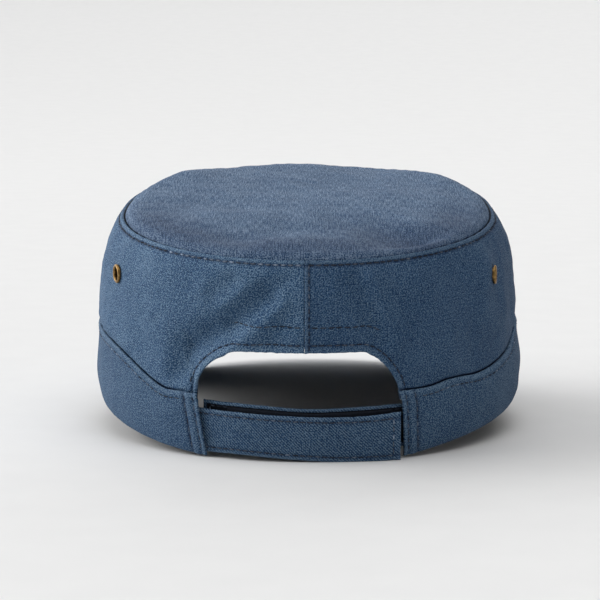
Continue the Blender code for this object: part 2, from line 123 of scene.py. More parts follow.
RINGS = (
    # up, left, right, back, front
    (0.00, 0.990, 1.002, 0.997, 0.996),
    (0.05, 0.995, 1.010, 1.000, 0.999),
    (0.13, 1.002, 1.015, 1.001, 1.002),
    (0.27, 0.996, 1.004, 1.000, 1.000),
    (0.38, 0.992, 0.993, 0.997, 0.998),
    (0.45, 0.997, 0.998, 0.995, 1.000),
    (0.52, 1.001, 1.003, 0.991, 1.001),
    (0.60, 0.999, 1.001, 0.984, 0.998),
    (0.68, 0.992, 0.992, 0.974, 0.992),
    (0.78, 0.978, 0.977, 0.957, 0.979),
    (0.88, 0.953, 0.951, 0.933, 0.958),
    (0.95, 0.922, 0.920, 0.908, 0.935),
    (1.00, 0.886, 0.886, 0.880, 0.905),
)
RIM = (
    # degrees from the back, left, right
    (0, 0.00, 0.00),
    (14, -0.10, -0.10),
    (26, -0.20, -0.16),
    (36, -0.10, 0.14),
    (46, 0.08, 0.36),
    (60, 0.34, 0.58),
    (75, 0.58, 0.72),
    (90, 0.74, 0.86),
    (115, 0.64, 0.72),
    (150, 0.20, 0.24),
    (180, 0.00, 0.00),
)
TOP_PROFILE = (
    # out, rise, rise at the near shoulder
    (0.00, 1.00, 1.00),
    (0.30, 1.00, 1.00),
    (0.52, 0.98, 0.97),
    (0.72, 0.92, 0.85),
    (0.86, 0.84, 0.60),
    (0.93, 0.69, 0.43),
    (0.97, 0.44, 0.31),
    (1.00, 0.00, 0.00),
)
SHOULDER = (
    # degrees from the back, left, right
    (0, 0.80, 0.80),
    (20, 0.70, 1.00),
    (45, 0.60, 1.00),
    (65, 0.35, 0.80),
    (85, 0.10, 0.25),
    (105, 0.00, 0.00),
    (180, 0.00, 0.00),
)
BAND_EDGE = (
    # degrees from the back, left, right
    (0, 0.700, 0.760),
    (24, 0.700, 0.760),
    (33, 0.690, 0.755),
    (38, 0.680, 0.785),
    (43, 0.740, 0.780),
    (48, 0.820, 0.755),
    (55, 0.915, 0.755),
    (62, 0.970, 0.780),
    (70, 0.985, 0.830),
    (77, 0.980, 0.930),
    (85, 0.985, 0.990),
    (100, 1.000, 1.000),
    (180, 1.000, 1.000),
)
CORNERS = (
    # side, width, height, roundness
    (1, 0.39, 0.92, 1.50),
    (-1, 0.43, 1.52, 1.75),
)
FOLDS = (
    # degrees from, up from, degrees to, up to, width share, depth share
    (35, 0.26, 30, 0.55, 0.74, 0.90),
    (30, 0.55, 19, 0.67, 0.74, 1.22),
    (19, 0.67, 9, 0.83, 0.70, 1.22),
    (9, 0.83, 5, 0.89, 0.70, 0.50),
    (20, 0.55, 13, 0.67, 0.80, -0.55),
    (13, 0.67, 6, 0.81, 0.70, -0.50),
    (8, 0.62, 4, 0.74, 0.60, 0.45),
    (23, 0.82, 19, 0.89, 0.60, 0.45),
    (52, 0.50, 58, 0.86, 1.80, 0.16),
    (-13, 0.92, -17, 0.60, 0.70, 0.50),
    (-17, 0.90, -22, 0.58, 0.60, -0.50),
    (-9, 0.85, -17, 0.55, 0.80, -0.20),
    (-30, 0.86, -36, 0.48, 1.20, -0.30),
    (-44, 0.90, -50, 0.45, 1.60, 0.30),
    (-70, 0.80, -78, 0.48, 1.80, 0.22),
    (120, 0.55, 134, 0.84, 1.60, 0.35),
    (-128, 0.50, -140, 0.86, 1.60, 0.40),
    (160, 0.60, 172, 0.84, 1.40, 0.25),
    (-156, 0.62, -170, 0.80, 1.40, 0.20),
)
DENTS = (
    # across, along, half width, half length, turn, depth share
    (0.30, 0.15, 0.34, 0.10, 20, 0.50),
    (-0.32, -0.86, 0.22, 0.34, 0, 1.25),
    (0.28, 0.66, 0.11, 0.10, 0, 0.60),
    (0.06, 0.56, 0.12, 0.09, 10, 0.50),
    (-0.48, 0.62, 0.40, 0.16, 24, 1.45),
    (-0.30, 0.10, 0.40, 0.30, 0, -0.30),
    (0.68, -0.50, 0.20, 0.28, 30, -1.05),
    (0.50, -0.84, 0.16, 0.20, 0, 0.50),
    (-0.66, -0.50, 0.20, 0.28, -30, -0.50),
)
OUTER_STRAP = (
    # along, standoff share, foot share, height share
    (0.00, -0.08, 0.010, 1.000),
    (0.09, 0.00, 0.025, 0.995),
    (0.22, 0.22, 0.060, 0.980),
    (0.50, 0.38, 0.018, 1.005),
    (0.74, 0.52, -0.045, 1.050),
    (0.90, 0.80, -0.052, 1.085),
    (1.00, 1.00, -0.052, 1.115),
)
INNER_STRAP = (
    # along, standoff share, foot share, height share
    (0.00, -0.06, 0.130, 1.000),
    (0.10, -0.12, 0.145, 1.000),
    (0.26, -0.20, 0.155, 1.000),
    (0.50, -0.31, 0.135, 1.000),
    (0.74, -0.44, 0.180, 1.000),
    (0.90, -0.68, 0.165, 1.000),
    (1.00, -0.88, 0.145, 1.000),
)

# Sewing: how far each row lies from its edge, and how the cloth swells and sinks round a row
TOP_ROW = 0.0017
SIDE_SEAM_ROW = 0.0016
HEM_ROW = 0.0030
FACING_ROW = 0.0100
FACING_REACH = 0.0310
TAPE_MARGIN = 0.0016
BAND_ROW = 0.0030
BAND_END_ROWS = (0.0020, 0.0062)
STRAP_ROW = 0.0021
STRAP_END_ROW = 0.0030
PEAK_ROWS_IN = (0.0030, 0.0100, 0.0170, 0.0240, 0.0310)
GROOVE_WIDTH = 0.0007
GROOVE_DEPTH = 0.00024
WELT_HEIGHT = 0.00042
PUCKER_HEIGHT = 0.00020
PUCKER_LENGTH = 0.0058
PUCKER_REACH = 0.0060
SWELL_HEIGHT = 0.00042
SWELL_LENGTH = 0.030
CREVICE_DEPTH = 0.0002
CREVICE_WIDTH = 0.0011
PUFF_HEIGHT = 0.0010
PUFF_REACH = 0.0120
LIP_DEPTH = 0.0009
LIP_REACH = 0.0022
TOP_INSET = 0.0010
HEM_PUCKER_REACH = 0.011
SEAM_PUCKER_REACH = 0.0035
BAND_PUCKER_REACH = 0.005
STRAP_PUCKER_REACH = 0.003
EYELET_CALM = 0.011
EYELET_SEAT, EYELET_SEAT_REACH = 0.0003, 0.0055
FACING_RELIEF = 0.00016
BAND_PIPING = 0.0004
BAND_FOOT_ROUNDING, BAND_FOOT_REACH = 0.0004, 0.0016
SEAM_SINK, SEAM_SINK_REACH = 0.0002, 0.0012
STRAP_EDGE_SINK, STRAP_EDGE_REACH = 0.00025, 0.0006
PEAK_EDGE_SINK, PEAK_EDGE_REACH = 0.0005, 0.0009

# Worn streaks, and streaks of painted shade in stitch grooves and seam crevices, beside an edge: how strong,
# how far from it, half how wide
LAPPED_SHARE, FREE_SHARE = 1.15, 0.6
SIDE_TOP_WORN = (1.0, 0.0005, 0.0005)
HEM_WORN = (0.5, 0.0008, 0.0016)
SEAM_WORN = (1.2, 0.0005, 0.0006)
TOP_ROW_SHADE = (0.75, TOP_ROW, 0.0005)
SEAM_ROW_SHADE = (0.5, SIDE_SEAM_ROW, 0.0005)
HEM_ROW_SHADE = (0.4, HEM_ROW, 0.0005)
TOP_WORN = (0.35, 0.0015, 0.0012)
TOP_SEAM_SHADE = (1.0, 0.0, 0.0007)
TOP_SEAM_SHADE_RIGHT, TOP_SEAM_SHADE_LEFT = 0.62, 0.17
BAND_EDGE_WORN = (0.7, 0.0006, 0.0008)
BAND_END_WORN = ((0.6, 0.0008, 0.0012), (0.45, 0.0043, 0.0011))
BAND_END_SHADE = ((0.35, 0.0020, 0.0005), (0.5, 0.0064, 0.0008))
STRAP_WORN = (0.7, 0.0004, 0.0007)
STRAP_END_WORN = (0.35, 0.0, 0.0009)
STRAP_ROW_SHADE = (0.5, STRAP_ROW, 0.0005)
PEAK_WORN = (0.6, 0.0006, 0.0009)

# Painted shade on the near part of the top, a patch on its right shoulder and a strip along its rim: how
# strong, and its share and place near the rim
SHOULDER_SHADE_SHARE = 0.60
RIM_SHADE = (0.75, 0.010, 0.014)

# Thread
STITCH_PITCH = 0.0029
STITCH_SHARE = 0.84
THREAD_RADIUS = 0.00028
TOP_THREAD_RADIUS = 0.00034
PALE_TOP_THREAD = math.radians(42)
THREAD_SIDES = 6
THREAD_STRAY = 0.00008
THREAD_MARGIN = 0.0012
BAND_ROW_INSET = 0.0085
NUDGE = 1e-4
THREAD_RINGS = 5

# Mesh
ARC_POINTS, ARC_LEVEL = 1441, 0.3
COLUMN_STEP = 0.0011
EDGE_STEP = 0.0006
EDGE_ZONE = 0.0126
SEAM_ZONE = 0.0060
SEAM_HALF = 0.0001
SIDE_OVER = 0.0003
FAN, FAN_CURVE = 0.012, 1.7
MIDDLE_ROWS = 24
BAND_BODY_ROWS = 25
BAND_END_ZONE = 0.009
TOP_OUTER = 0.86
TOP_RINGS, TOP_OUTER_RINGS, TOP_COLUMNS = 62, 22, 361
STRAP_STEP, STRAP_ROWS = 0.0008, 28
FASTENER_COLUMNS, FASTENER_ROWS = 90, 32
PEAK_EDGE = 0.16
PEAK_ROWS, PEAK_EDGE_ROWS, PEAK_COLUMNS = 38, 14, 191
EDGE_ROUNDING = 0.00048
EDGE_PROFILE = (
    # away from the edge, sunk, both as shares of the rounding
    (0.000, 1.000),
    (0.134, 0.500),
    (0.500, 0.134),
    (1.000, 0.000),
)

# Floor: how far it stays flat, how far it reaches and how high it curves up there
FLOOR_FLAT = 1.6
FLOOR_REACH = 7.0
FLOOR_RISE = 0.9
FLOOR_RINGS = 20
FLOOR_STEPS = 96

# Light: two large soft lamps low on the wearer's left, and weaker ones above and in front of the cap
WORLD_STRENGTH = 0.15
LAMPS = (
    # name, degrees from the back, degrees up, strength, softness in degrees
    ("key", 90, 17, 2.46, 62),
    ("key_front", 115, 17, 2.08, 62),
    ("front", 180, 30, 0.95, 50),
    ("above_right", -60, 72, 0.74, 50),
    ("above", 20, 78, 0.63, 50),
)

# Camera: where it looks, from where, and the lens as the photograph's size in pixels gives it
CAMERA_TARGET = (0.00064, 0.02911, 0.05211)
CAMERA_DEGREES = (-0.624, 7.283)
CAMERA_DISTANCE = 0.8912
SENSOR = 36.0
PICTURE_PIXELS = 600
FOCAL_PIXELS = 2015.2
SHIFT_PIXELS = -7.66

# Colours: dark, middle and pale
INDIGO = ((0.005, 0.025, 0.072), (0.022, 0.067, 0.145), (0.122, 0.190, 0.270))
# The top's paler yarns: partly faded cloth, partly painted sheen and light where the top is seen at a grazing
# angle
FADED_AND_SHEEN = ((0.008, 0.034, 0.090), (0.034, 0.086, 0.178), (0.184, 0.252, 0.345))
# Lit and shaded copies of the side panels' indigo: painted light on the left panel, where the lamps fall, and
# painted shade on the right
LIT_INDIGO = ((0.006, 0.029, 0.082), (0.026, 0.079, 0.170), (0.152, 0.235, 0.328))
SHADED_INDIGO = ((0.004, 0.023, 0.068), (0.019, 0.061, 0.138), (0.098, 0.160, 0.240))
# The inner faces' colour is painted shade: made near black to stand for the shade inside the cap
SHADED_REVERSE = ((0.008, 0.011, 0.018), (0.028, 0.035, 0.048), (0.085, 0.095, 0.115))
BRASS = ((0.10, 0.058, 0.022), (0.27, 0.165, 0.060), (0.46, 0.31, 0.13))
# Dark tints that painted shade multiplies the denim and the brass towards
SHADE_TINT = (0.05, 0.12, 0.26, 1.0)
BRASS_SHADE_TINT = (0.06, 0.05, 0.04, 1.0)
NAVY = ((0.003, 0.005, 0.014), (0.40, 0.50, 0.66))
TAPE = ((0.003, 0.004, 0.007), (0.020, 0.025, 0.038))
FLOOR = ((0.715, 0.715, 0.714), (0.73, 0.73, 0.728))


def ease(share):
    share = np.clip(share, 0.0, 1.0)
    return share * share * (3 - 2 * share)


def bell(away, width):
    return np.exp(-((away / width) ** 2))


def streak(away, strength, place, width):
    """A soft line beside an edge."""
    return strength * bell(away - place, width)


def stacked(*parts):
    return np.stack(parts, axis=-1)


def column_curve(table, column):
    """A smooth curve through one column of a table, read at places in its first column."""
    keys = np.array([row[0] for row in table], float)
    values = np.array([row[column] for row in table], float)
    slopes = np.gradient(values, keys)

    def at(place):
        place = np.clip(place, keys[0], keys[-1])
        low = np.clip(np.searchsorted(keys, place, "right") - 1, 0, len(keys) - 2)
        span = keys[low + 1] - keys[low]
        t = (place - keys[low]) / span
        start = values[low] * (1 + 2 * t) * (1 - t) ** 2 + slopes[low] * span * t * (1 - t) ** 2
        end = values[low + 1] * t * t * (3 - 2 * t) + slopes[low + 1] * span * t * t * (t - 1)
        return start + end

    return at


def unit(vectors):
    return vectors / np.maximum(np.linalg.norm(vectors, axis=-1, keepdims=True), 1e-12)


def way_along(line):
    """The way along a flat line, at each of its points."""
    return np.concatenate([[0.0], np.cumsum(np.hypot(*np.diff(line, axis=0).T))])


def one_turn(angle):
    """The same angle within half a turn of the back."""
    return np.arctan2(np.sin(angle), np.cos(angle))


def degrees_from_back(angle):
    return np.degrees(one_turn(angle))


def two_sided(table):
    """A curve over the degrees from the back that has a column for the left and one for the right."""
    left, right = column_curve(table, 1), column_curve(table, 2)

    def at(angle):
        turned = degrees_from_back(angle)
        return np.where(turned > 0, left(np.abs(turned)), right(np.abs(turned)))

    return at


left_share, right_share = column_curve(RINGS, 1), column_curve(RINGS, 2)
back_share, front_share = column_curve(RINGS, 3), column_curve(RINGS, 4)
steep_rise, gentle_rise = column_curve(TOP_PROFILE, 1), column_curve(TOP_PROFILE, 2)
rim_share, shoulder_share, band_edge_share = two_sided(RIM), two_sided(SHOULDER), two_sided(BAND_EDGE)
SEAM_BACK, SEAM_FRONT = BACK_DEPTH * back_share(1.0), FRONT_DEPTH * front_share(1.0)


def oval(angle, side, back, front):
    """Points of an oval with its own depth at the back and at the front. Angle 0 is the back."""
    sine, cosine = np.sin(angle), np.cos(angle)
    behind = cosine > 0
    depth = np.where(behind, back, front)
    power = 2 / np.where(behind, BACK_SQUARENESS, FRONT_SQUARENESS)
    across = np.sign(sine) * np.abs(sine) ** power
    along = np.sign(cosine) * np.abs(cosine) ** power
    return side * across, depth * along


def side_depth(angle, up):
    return HALF_WIDTH * np.where(degrees_from_back(angle) > 0, left_share(up), right_share(up))


def rim_height(angle):
    return RIM_ARCH * rim_share(angle)


def seam_height(along):
    share = (SEAM_BACK - along) / (SEAM_BACK + SEAM_FRONT)
    return BACK_HEIGHT + (FRONT_HEIGHT - BACK_HEIGHT) * share


def wall_height(angle):
    along = oval(angle, HALF_WIDTH, SEAM_BACK, SEAM_FRONT)[1]
    return seam_height(along) - rim_height(angle)


def level_of(angle, height):
    return (height - rim_height(angle)) / wall_height(angle)


def height_of(angle, level):
    return rim_height(angle) + wall_height(angle) * level


def wall_point(angle, up, out=0.0):
    """Points of the smooth wall, moved out by a distance."""
    x, y = oval(
        angle,
        side_depth(angle, up) + out,
        BACK_DEPTH * back_share(up) + out,
        FRONT_DEPTH * front_share(up) + out,
    )
    return stacked(x, y, height_of(angle, up))


def band_edge_height(angle):
    return BAND_HEIGHT * band_edge_share(angle)


def away_from_run(across, above, x0, z0, x1, z1):
    """The distance from points to a straight run, all of them flat."""
    run_x, run_z = x1 - x0, z1 - z0
    length = np.maximum(run_x**2 + run_z**2, 1e-12)
    along = np.clip(((across - x0) * run_x + (above - z0) * run_z) / length, 0, 1)
    return np.hypot(across - x0 - run_x * along, above - z0 - run_z * along)


def fold_depth(angle, up):
    height = wall_height(angle)
    across, above = angle * HALF_WIDTH, up * height
    valleys = np.zeros(np.shape(across))
    ridges = np.zeros(np.shape(across))
    for start, low, end, high, width, share in FOLDS:
        x0, x1 = math.radians(start) * HALF_WIDTH, math.radians(end) * HALF_WIDTH
        away = away_from_run(across, above, x0, low * height, x1, high * height)
        here = (abs(share) * bell(away, FOLD_WIDTH * width)) ** FOLD_BLEND
        if share > 0:
            valleys += here
        else:
            ridges += here
    depth = FOLD_DEPTH * (valleys ** (1 / FOLD_BLEND) - ridges ** (1 / FOLD_BLEND))
    beside_seam = ease(np.abs(np.sin(angle)) * HALF_WIDTH / FOLD_EDGE)
    return depth * beside_seam * ease((1 - up) * height / FOLD_EDGE)


def main_relief(angle, up, above_band):
    """How far the wall stands out of its smooth form, which is tucked in below the band and folded above."""
    tucked = CROWN_TUCK * ease(1 - above_band / BAND_LAP)
    free = ease(above_band / (2 * BAND_LAP))
    return -tucked - free * fold_depth(angle, up)


ARC_ANGLES = np.linspace(-math.pi, math.pi, ARC_POINTS)
ARC_RING = wall_point(ARC_ANGLES, np.full(ARC_ANGLES.shape, ARC_LEVEL))
ARC_LENGTHS = way_along(ARC_RING[:, :2])
ARC_LENGTHS -= np.interp(0.0, ARC_ANGLES, ARC_LENGTHS)


def arc(angle):
    """The way round the wall from the middle of the back, over 0 on the wearer's left."""
    return np.interp(angle, ARC_ANGLES, ARC_LENGTHS)


def angle_of(length):
    return np.interp(length, ARC_LENGTHS, ARC_ANGLES)


def wave(way, length, chance):
    """One of the waves that make up the unevenness of cloth."""
    return np.sin(2 * math.pi * way / length + chance.uniform(0, 6.3))


def ripple(along, length, seed):
    """A soft irregular wave along a seam, from -1 to 1."""
    chance = np.random.default_rng(seed)
    return sum(wave(along, length * chance.uniform(0.6, 1.9), chance) for _ in range(5)) / 2.6


def swell(across, along, length, seed):
    """Soft broad unevenness of a cloth surface, from about -1 to 1."""
    chance = np.random.default_rng(seed)
    total = 0.0
    for _ in range(9):
        turn = chance.uniform(0, math.pi)
        stretch = chance.uniform(0.55, 1.8)
        total = total + wave(across * math.cos(turn) + along * math.sin(turn), length * stretch, chance)
    return total / 3.6


def pucker(share, near, way, seed, stretch=1.0):
    """Small puckers along a seam, where it's near."""
    return PUCKER_HEIGHT * share * near * ripple(way, PUCKER_LENGTH * stretch, seed)


def groove(away):
    """How far a row of stitches pulls the cloth in, at a distance from the row."""
    return GROOVE_DEPTH * bell(away, GROOVE_WIDTH)


def welt(away, width):
    """The raised strip between a sewn edge and its row of stitches."""
    share = np.clip(away / width, 0, 1)
    return WELT_HEIGHT * np.where(away < width, np.sin(math.pi * np.clip(share * 0.62 + 0.38, 0, 1)), 0.0)


def opening_edge(side):
    """The opening's outline on one side as x and z, from its top middle down to the rim."""
    edge = OPENING_LEFT if side > 0 else OPENING_RIGHT
    width, height, roundness = next(row[1:] for row in CORNERS if row[0] == side)
    across = edge * width
    up = (OPENING_TOP - CORNER_LEVEL) * height
    turns = np.linspace(math.pi / 2, 0, 40)
    x = edge - across + across * np.cos(turns).clip(0) ** (2 / roundness)
    z = OPENING_TOP - up + up * np.sin(turns).clip(0) ** (2 / roundness)
    x = np.concatenate([np.linspace(0, edge - across, 20)[:-1], x, [OPENING_SILL_HALF]])
    z = np.concatenate([np.full(19, OPENING_TOP), z, [0.0]])
    return side * x, z


def angle_at(x, z):
    """The angle at which the wall passes over a given x, at a given height, at the back."""
    angle = np.arcsin(np.clip(x / HALF_WIDTH, -1, 1))
    for _ in range(4):
        half = side_depth(np.sign(x) * 0.1, level_of(angle, z))
        share = np.clip(np.abs(x) / half, 0, 1) ** (BACK_SQUARENESS / 2)
        angle = np.sign(x) * np.arcsin(share)
    return angle


EDGE_LINES = {}
for each_side in (1, -1):
    edge_x, edge_z = opening_edge(each_side)
    EDGE_LINES[each_side] = stacked(arc(angle_at(edge_x, edge_z)), edge_z)


def opening_distance(angle, height):
    across = arc(angle)
    best = np.full(np.shape(across), 1.0)
    for line in EDGE_LINES.values():
        for start, end in zip(line[:-1], line[1:]):
            best = np.minimum(best, away_from_run(across, height, *start, *end))
    return best


def eyelet_ways(angle, height):
    """For each eyelet the way from it, round the wall and up, and the slopes that turn it."""
    for _, degrees, sideways, down in EYELETS:
        there = math.radians(degrees)
        level = height_of(there, EYELET_LEVEL)
        outward = math.copysign(math.tan(math.radians(sideways)), degrees)
        yield arc(angle) - arc(there), height - level, outward, math.tan(math.radians(down))


def eyelet_distance(angle, height):
    ways = [np.hypot(away_x, away_z) for away_x, away_z, *_ in eyelet_ways(angle, height)]
    return np.minimum(1.0, np.min(ways, axis=0))


def eyelet_tilt(angle, height):
    """How far the cloth round an eyelet stands out where the eyelet is turned."""
    out = 0.0
    for away_x, away_z, outward, down in eyelet_ways(angle, height):
        near = np.exp(-((away_x**2 + away_z**2) / EYELET_TILT_REACH**2))
        out = out + (down * away_z - outward * away_x) * near
    return out


def round_holes(angle, height):
    """Move the points nearest an eyelet out onto its round hole."""
    around, raised = arc(angle), height
    for away_x, away_z, *_ in eyelet_ways(angle, height):
        away = np.maximum(np.hypot(away_x, away_z), 1e-6)
        push = np.maximum(EYELET_CUT - away, 0) / away
        around = around + away_x * push
        raised = raised + away_z * push
    return angle_of(around), raised


def beside_side_seam(angle):
    """The way to the nearer of the seams at the middle of the back and of the front."""
    length = np.abs(arc(angle))
    return np.minimum(length, ARC_LENGTHS[-1] - length)


def closed_seam(angle, hem):
    """How open the groove over the band is: it closes before the opening, further out on the left."""
    return np.where(np.sin(angle) > 0, ease((hem - 0.006) / 0.010), ease(hem / 0.002))


def side_point(angle, height):
    """Points of the dressed wall, with its seams, hems, puckers and folds."""
    up = level_of(angle, height)
    around = arc(angle)
    below = (1 - up) * wall_height(angle)
    above_band = height - band_edge_height(angle)
    hem = opening_distance(angle, height)
    beside = beside_side_seam(angle)
    eyelet = eyelet_distance(angle, height)
    calm = 1 - bell(eyelet, EYELET_CALM)

    out = main_relief(angle, np.clip(up, 0, 1), above_band)
    groove_open = closed_seam(angle, hem)
    bulge = ease((above_band + 0.0004) / CREVICE_WIDTH)
    puff = bulge * (1 - ease((above_band - 0.003) / PUFF_REACH))
    out -= CREVICE_DEPTH * (1 - bulge) * groove_open * ease((above_band + 0.004) / 0.002)
    out += PUFF_HEIGHT * puff * (0.5 + 0.5 * groove_open)
    dressed = ease(above_band / 0.004)

    out = out + welt(below, TOP_ROW) - groove(below - TOP_ROW)
    lapped = np.sin(angle) < 0
    seam_welt = welt(beside, SIDE_SEAM_ROW) - groove(beside - SIDE_SEAM_ROW)
    sunk = -0.6 * WELT_HEIGHT * bell(beside, SEAM_SINK_REACH)
    out += np.where(lapped, seam_welt, sunk) * ease(below / 0.002)
    facing = (np.abs(around) < FACING_REACH) & (np.abs(angle) < 1)
    out = out + 0.7 * welt(hem, HEM_ROW) - groove(hem - HEM_ROW)
    out -= np.where(facing, groove(hem - FACING_ROW), 0.0)
    out += FACING_RELIEF * (1 - ease((hem - FACING_ROW) / 0.0012)) * ease(hem / 0.003)

    near_top = np.exp(-below / PUCKER_REACH) * ease(below / 0.0008)
    near_hem = bell(hem, HEM_PUCKER_REACH)
    near_seam = np.exp(-beside / SEAM_PUCKER_REACH)
    near_band = np.exp(-np.abs(above_band) / BAND_PUCKER_REACH)
    out += pucker(1.0, near_top, around, 3)
    out += pucker(0.8, near_hem, around + height, 5)
    out += pucker(0.8, near_seam, height, 7)
    out += pucker(0.7, near_band, around, 9, 1.3) * bulge
    broad = swell(around, height, SWELL_LENGTH, 11) + 0.45 * swell(around, height, SWELL_LENGTH / 3, 13)
    out += SWELL_HEIGHT * broad * calm * ease(below / 0.010) * ease(hem / 0.012) * dressed
    out = out - EYELET_SEAT * bell(eyelet, EYELET_SEAT_REACH) + eyelet_tilt(angle, height)
    return wall_point(angle, up, out)


def top_rise(angle, out):
    return TOP_RISE * (steep_rise(out) + (gentle_rise(out) - steep_rise(out)) * shoulder_share(angle))


def top_point(angle, out):
    """Points of the dressed top, from its middle (out 0) to the seam (out 1)."""
    x, y = oval(
        angle,
        (side_depth(angle, 1.0) - TOP_INSET) * out,
        (SEAM_BACK - TOP_INSET) * out,
        (SEAM_FRONT - TOP_INSET) * out,
    )
    dent = np.zeros(np.shape(x))
    for across, along, half_width, half_length, turn, share in DENTS:
        away_x, away_y = x / HALF_WIDTH - across, y / BACK_DEPTH - along
        cosine, sine = math.cos(math.radians(turn)), math.sin(math.radians(turn))
        turned_x = cosine * away_x - sine * away_y
        turned_y = sine * away_x + cosine * away_y
        dent += share * np.exp(-((turned_x / half_width) ** 2) - (turned_y / half_length) ** 2)
    rise = top_rise(angle, out) - DENT_DEPTH * dent * ease((1 - out) / DENT_EDGE)
    inside = (1 - out) * HALF_WIDTH
    around = np.where(out > 0, angle, 0) * HALF_WIDTH
    rise -= SEAM_SINK * bell(inside, SEAM_SINK_REACH)
    rise += pucker(1.0, np.exp(-inside / PUCKER_REACH), around, 21)
    rise += SWELL_HEIGHT * swell(x, y, SWELL_LENGTH * 1.3, 23) * ease(inside / 0.012)
    rise += 0.4 * SWELL_HEIGHT * swell(x, y, SWELL_LENGTH * 0.4, 25) * ease(inside / 0.006)
    return stacked(x, y, seam_height(y) + rise)


def band_end(side, height):
    """The angle at which the band ends at a height, on one side of the opening."""
    x, z = opening_edge(side)
    order = np.argsort(z)
    x = np.interp(height, z[order], x[order])
    return angle_at(x, height)


def band_point(angle, height):
    """Points of the dressed band."""
    up = level_of(angle, height)
    around = arc(one_turn(angle))
    below = band_edge_height(angle) - height
    above = height - rim_height(angle)
    left = arc(band_end(1, height))
    right = arc(band_end(-1, height))
    end = np.minimum(np.abs(around - left), np.abs(around - right))
    out = GAP + BAND_WALL + 0.6 * welt(below, BAND_ROW) - groove(below - BAND_ROW)
    first, second = BAND_END_ROWS
    out = out + 0.8 * welt(end, first) - groove(end - first) - 1.4 * groove(end - second)
    between = np.clip((end - first) / (second - first), 0, 1)
    out += BAND_PIPING * np.sin(math.pi * between) ** 0.7
    out = out - BAND_FOOT_ROUNDING * bell(above, BAND_FOOT_REACH) - LIP_DEPTH * ease(1 - below / LIP_REACH)
    near_edges = np.exp(-np.abs(below - 0.002) / 0.004) + 0.6 * np.exp(-above / 0.004)
    out += pucker(0.6, near_edges, around, 31, 1.2)
    out += pucker(0.7, np.exp(-end / PUCKER_REACH), height, 33)
    broad = swell(around, height, SWELL_LENGTH, 35) * ease(end / 0.01)
    out += 0.8 * SWELL_HEIGHT * broad * ease(above / 0.008) * ease(below / 0.008)
    return wall_point(angle, up, out)


def strap_faces(table, start, end, seed):
    standoff, foot, tall = (column_curve(table, column) for column in (1, 2, 3))

    def place(along, v):
        x = start + (end - start) * along
        share = np.clip(np.abs(x) / HALF_WIDTH, 0, 1)
        ring = BACK_DEPTH * (1 - share**BACK_SQUARENESS) ** (1 / BACK_SQUARENESS)
        height = STRAP_HEIGHT * tall(along)
        z = STRAP_HEIGHT * foot(along) + height * v
        inside = height * np.minimum(v, 1 - v)
        free_end = (1 - along) * abs(end - start)
        out = -groove(inside - STRAP_ROW) - groove(free_end - STRAP_END_ROW)
        out -= STRAP_EDGE_SINK * bell(inside, STRAP_EDGE_REACH)
        near = np.exp(-inside / STRAP_PUCKER_REACH) + np.exp(-free_end / STRAP_PUCKER_REACH)
        out += pucker(0.5, near, x + z, seed)
        out += 0.35 * SWELL_HEIGHT * swell(x, z, SWELL_LENGTH * 0.6, seed + 1)
        return stacked(x, ring + STRAP_STANDOFF * standoff(along) + out, z)

    return place


outer_strap_point = strap_faces(
    OUTER_STRAP, OPENING_SILL_HALF + STRAP_TUCK, -OPENING_SILL_HALF + FREE_END_CLEARANCE, 41
)
inner_strap_point = strap_faces(
    INNER_STRAP, -OPENING_SILL_HALF - STRAP_TUCK, OPENING_SILL_HALF + INNER_REACH, 51
)


def peak_point(across, out):
    """Points of the peak's upper face: across from -1 to 1, out from the band to the front edge."""
    angle = math.pi - across * PEAK_SPREAD
    under = -BAND_WALL
    root_x, root_y = oval(angle, HALF_WIDTH + under, BACK_DEPTH + under, FRONT_DEPTH + under)
    turn = across * math.pi / 2
    power = 2 / PEAK_ROUNDNESS
    end_y = oval(np.array(math.pi - PEAK_SPREAD), HALF_WIDTH, BACK_DEPTH, FRONT_DEPTH)[1]
    tip_x = PEAK_HALF_WIDTH * np.sign(turn) * np.abs(np.sin(turn)) ** power
    reach = FRONT_DEPTH + PEAK_LENGTH + end_y
    tip_y = end_y - reach * np.abs(np.cos(turn)) ** power
    x = root_x + (tip_x - root_x) * out
    y = root_y + (tip_y - root_y) * out
    run = np.hypot(x - root_x, y - root_y) / PEAK_LENGTH
    whole = np.hypot(tip_x - root_x, tip_y - root_y) / PEAK_LENGTH
    drop = PEAK_DROP * run + PEAK_ARCH * np.abs(x / PEAK_HALF_WIDTH) ** PEAK_CURVE * run
    rim = rim_height(angle) * (1 - ease(run / RIM_FADE))
    inside = (whole - run) * PEAK_LENGTH
    relief = -PEAK_EDGE_SINK * bell(inside, PEAK_EDGE_REACH)
    for row in PEAK_ROWS_IN:
        relief -= 0.7 * groove(inside - row)
    relief += pucker(0.4, np.exp(-inside / PUCKER_REACH), x + y, 61)
    relief += 0.3 * SWELL_HEIGHT * swell(x, y, SWELL_LENGTH, 63)
    return stacked(x, y, rim - GAP - drop + relief)


REST = Matrix.Translation(REST_PLACE) @ Matrix.Rotation(LEAN, 4, "X")


def at_rest(points):
    """Lean points of the cap's own frame back as the solids lean."""
    turn = np.array(REST.to_3x3())
    return points @ turn.T + np.array(REST.translation)


def between(start, end, step):
    count = max(2, int(round(abs(end - start) / step)) + 1)
    return np.linspace(start, end, count)


def ring_faces(rings, steps):
    """The faces between rings of points, each ring with as many points."""
    faces = []
    for low in range(0, (rings - 1) * steps, steps):
        for step in range(steps):
            after = (step + 1) % steps
            faces.append((low + step, low + steps + step, low + steps + after, low + after))
    return faces


def add_piece(name, mesh, materials, slot, node=None):
    made = bpy.data.objects.new(name, mesh)
    bpy.context.scene.collection.objects.link(made)
    for material in materials:
        mesh.materials.append(material)
    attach(made, "root")
    if node:
        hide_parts(node)
    return made


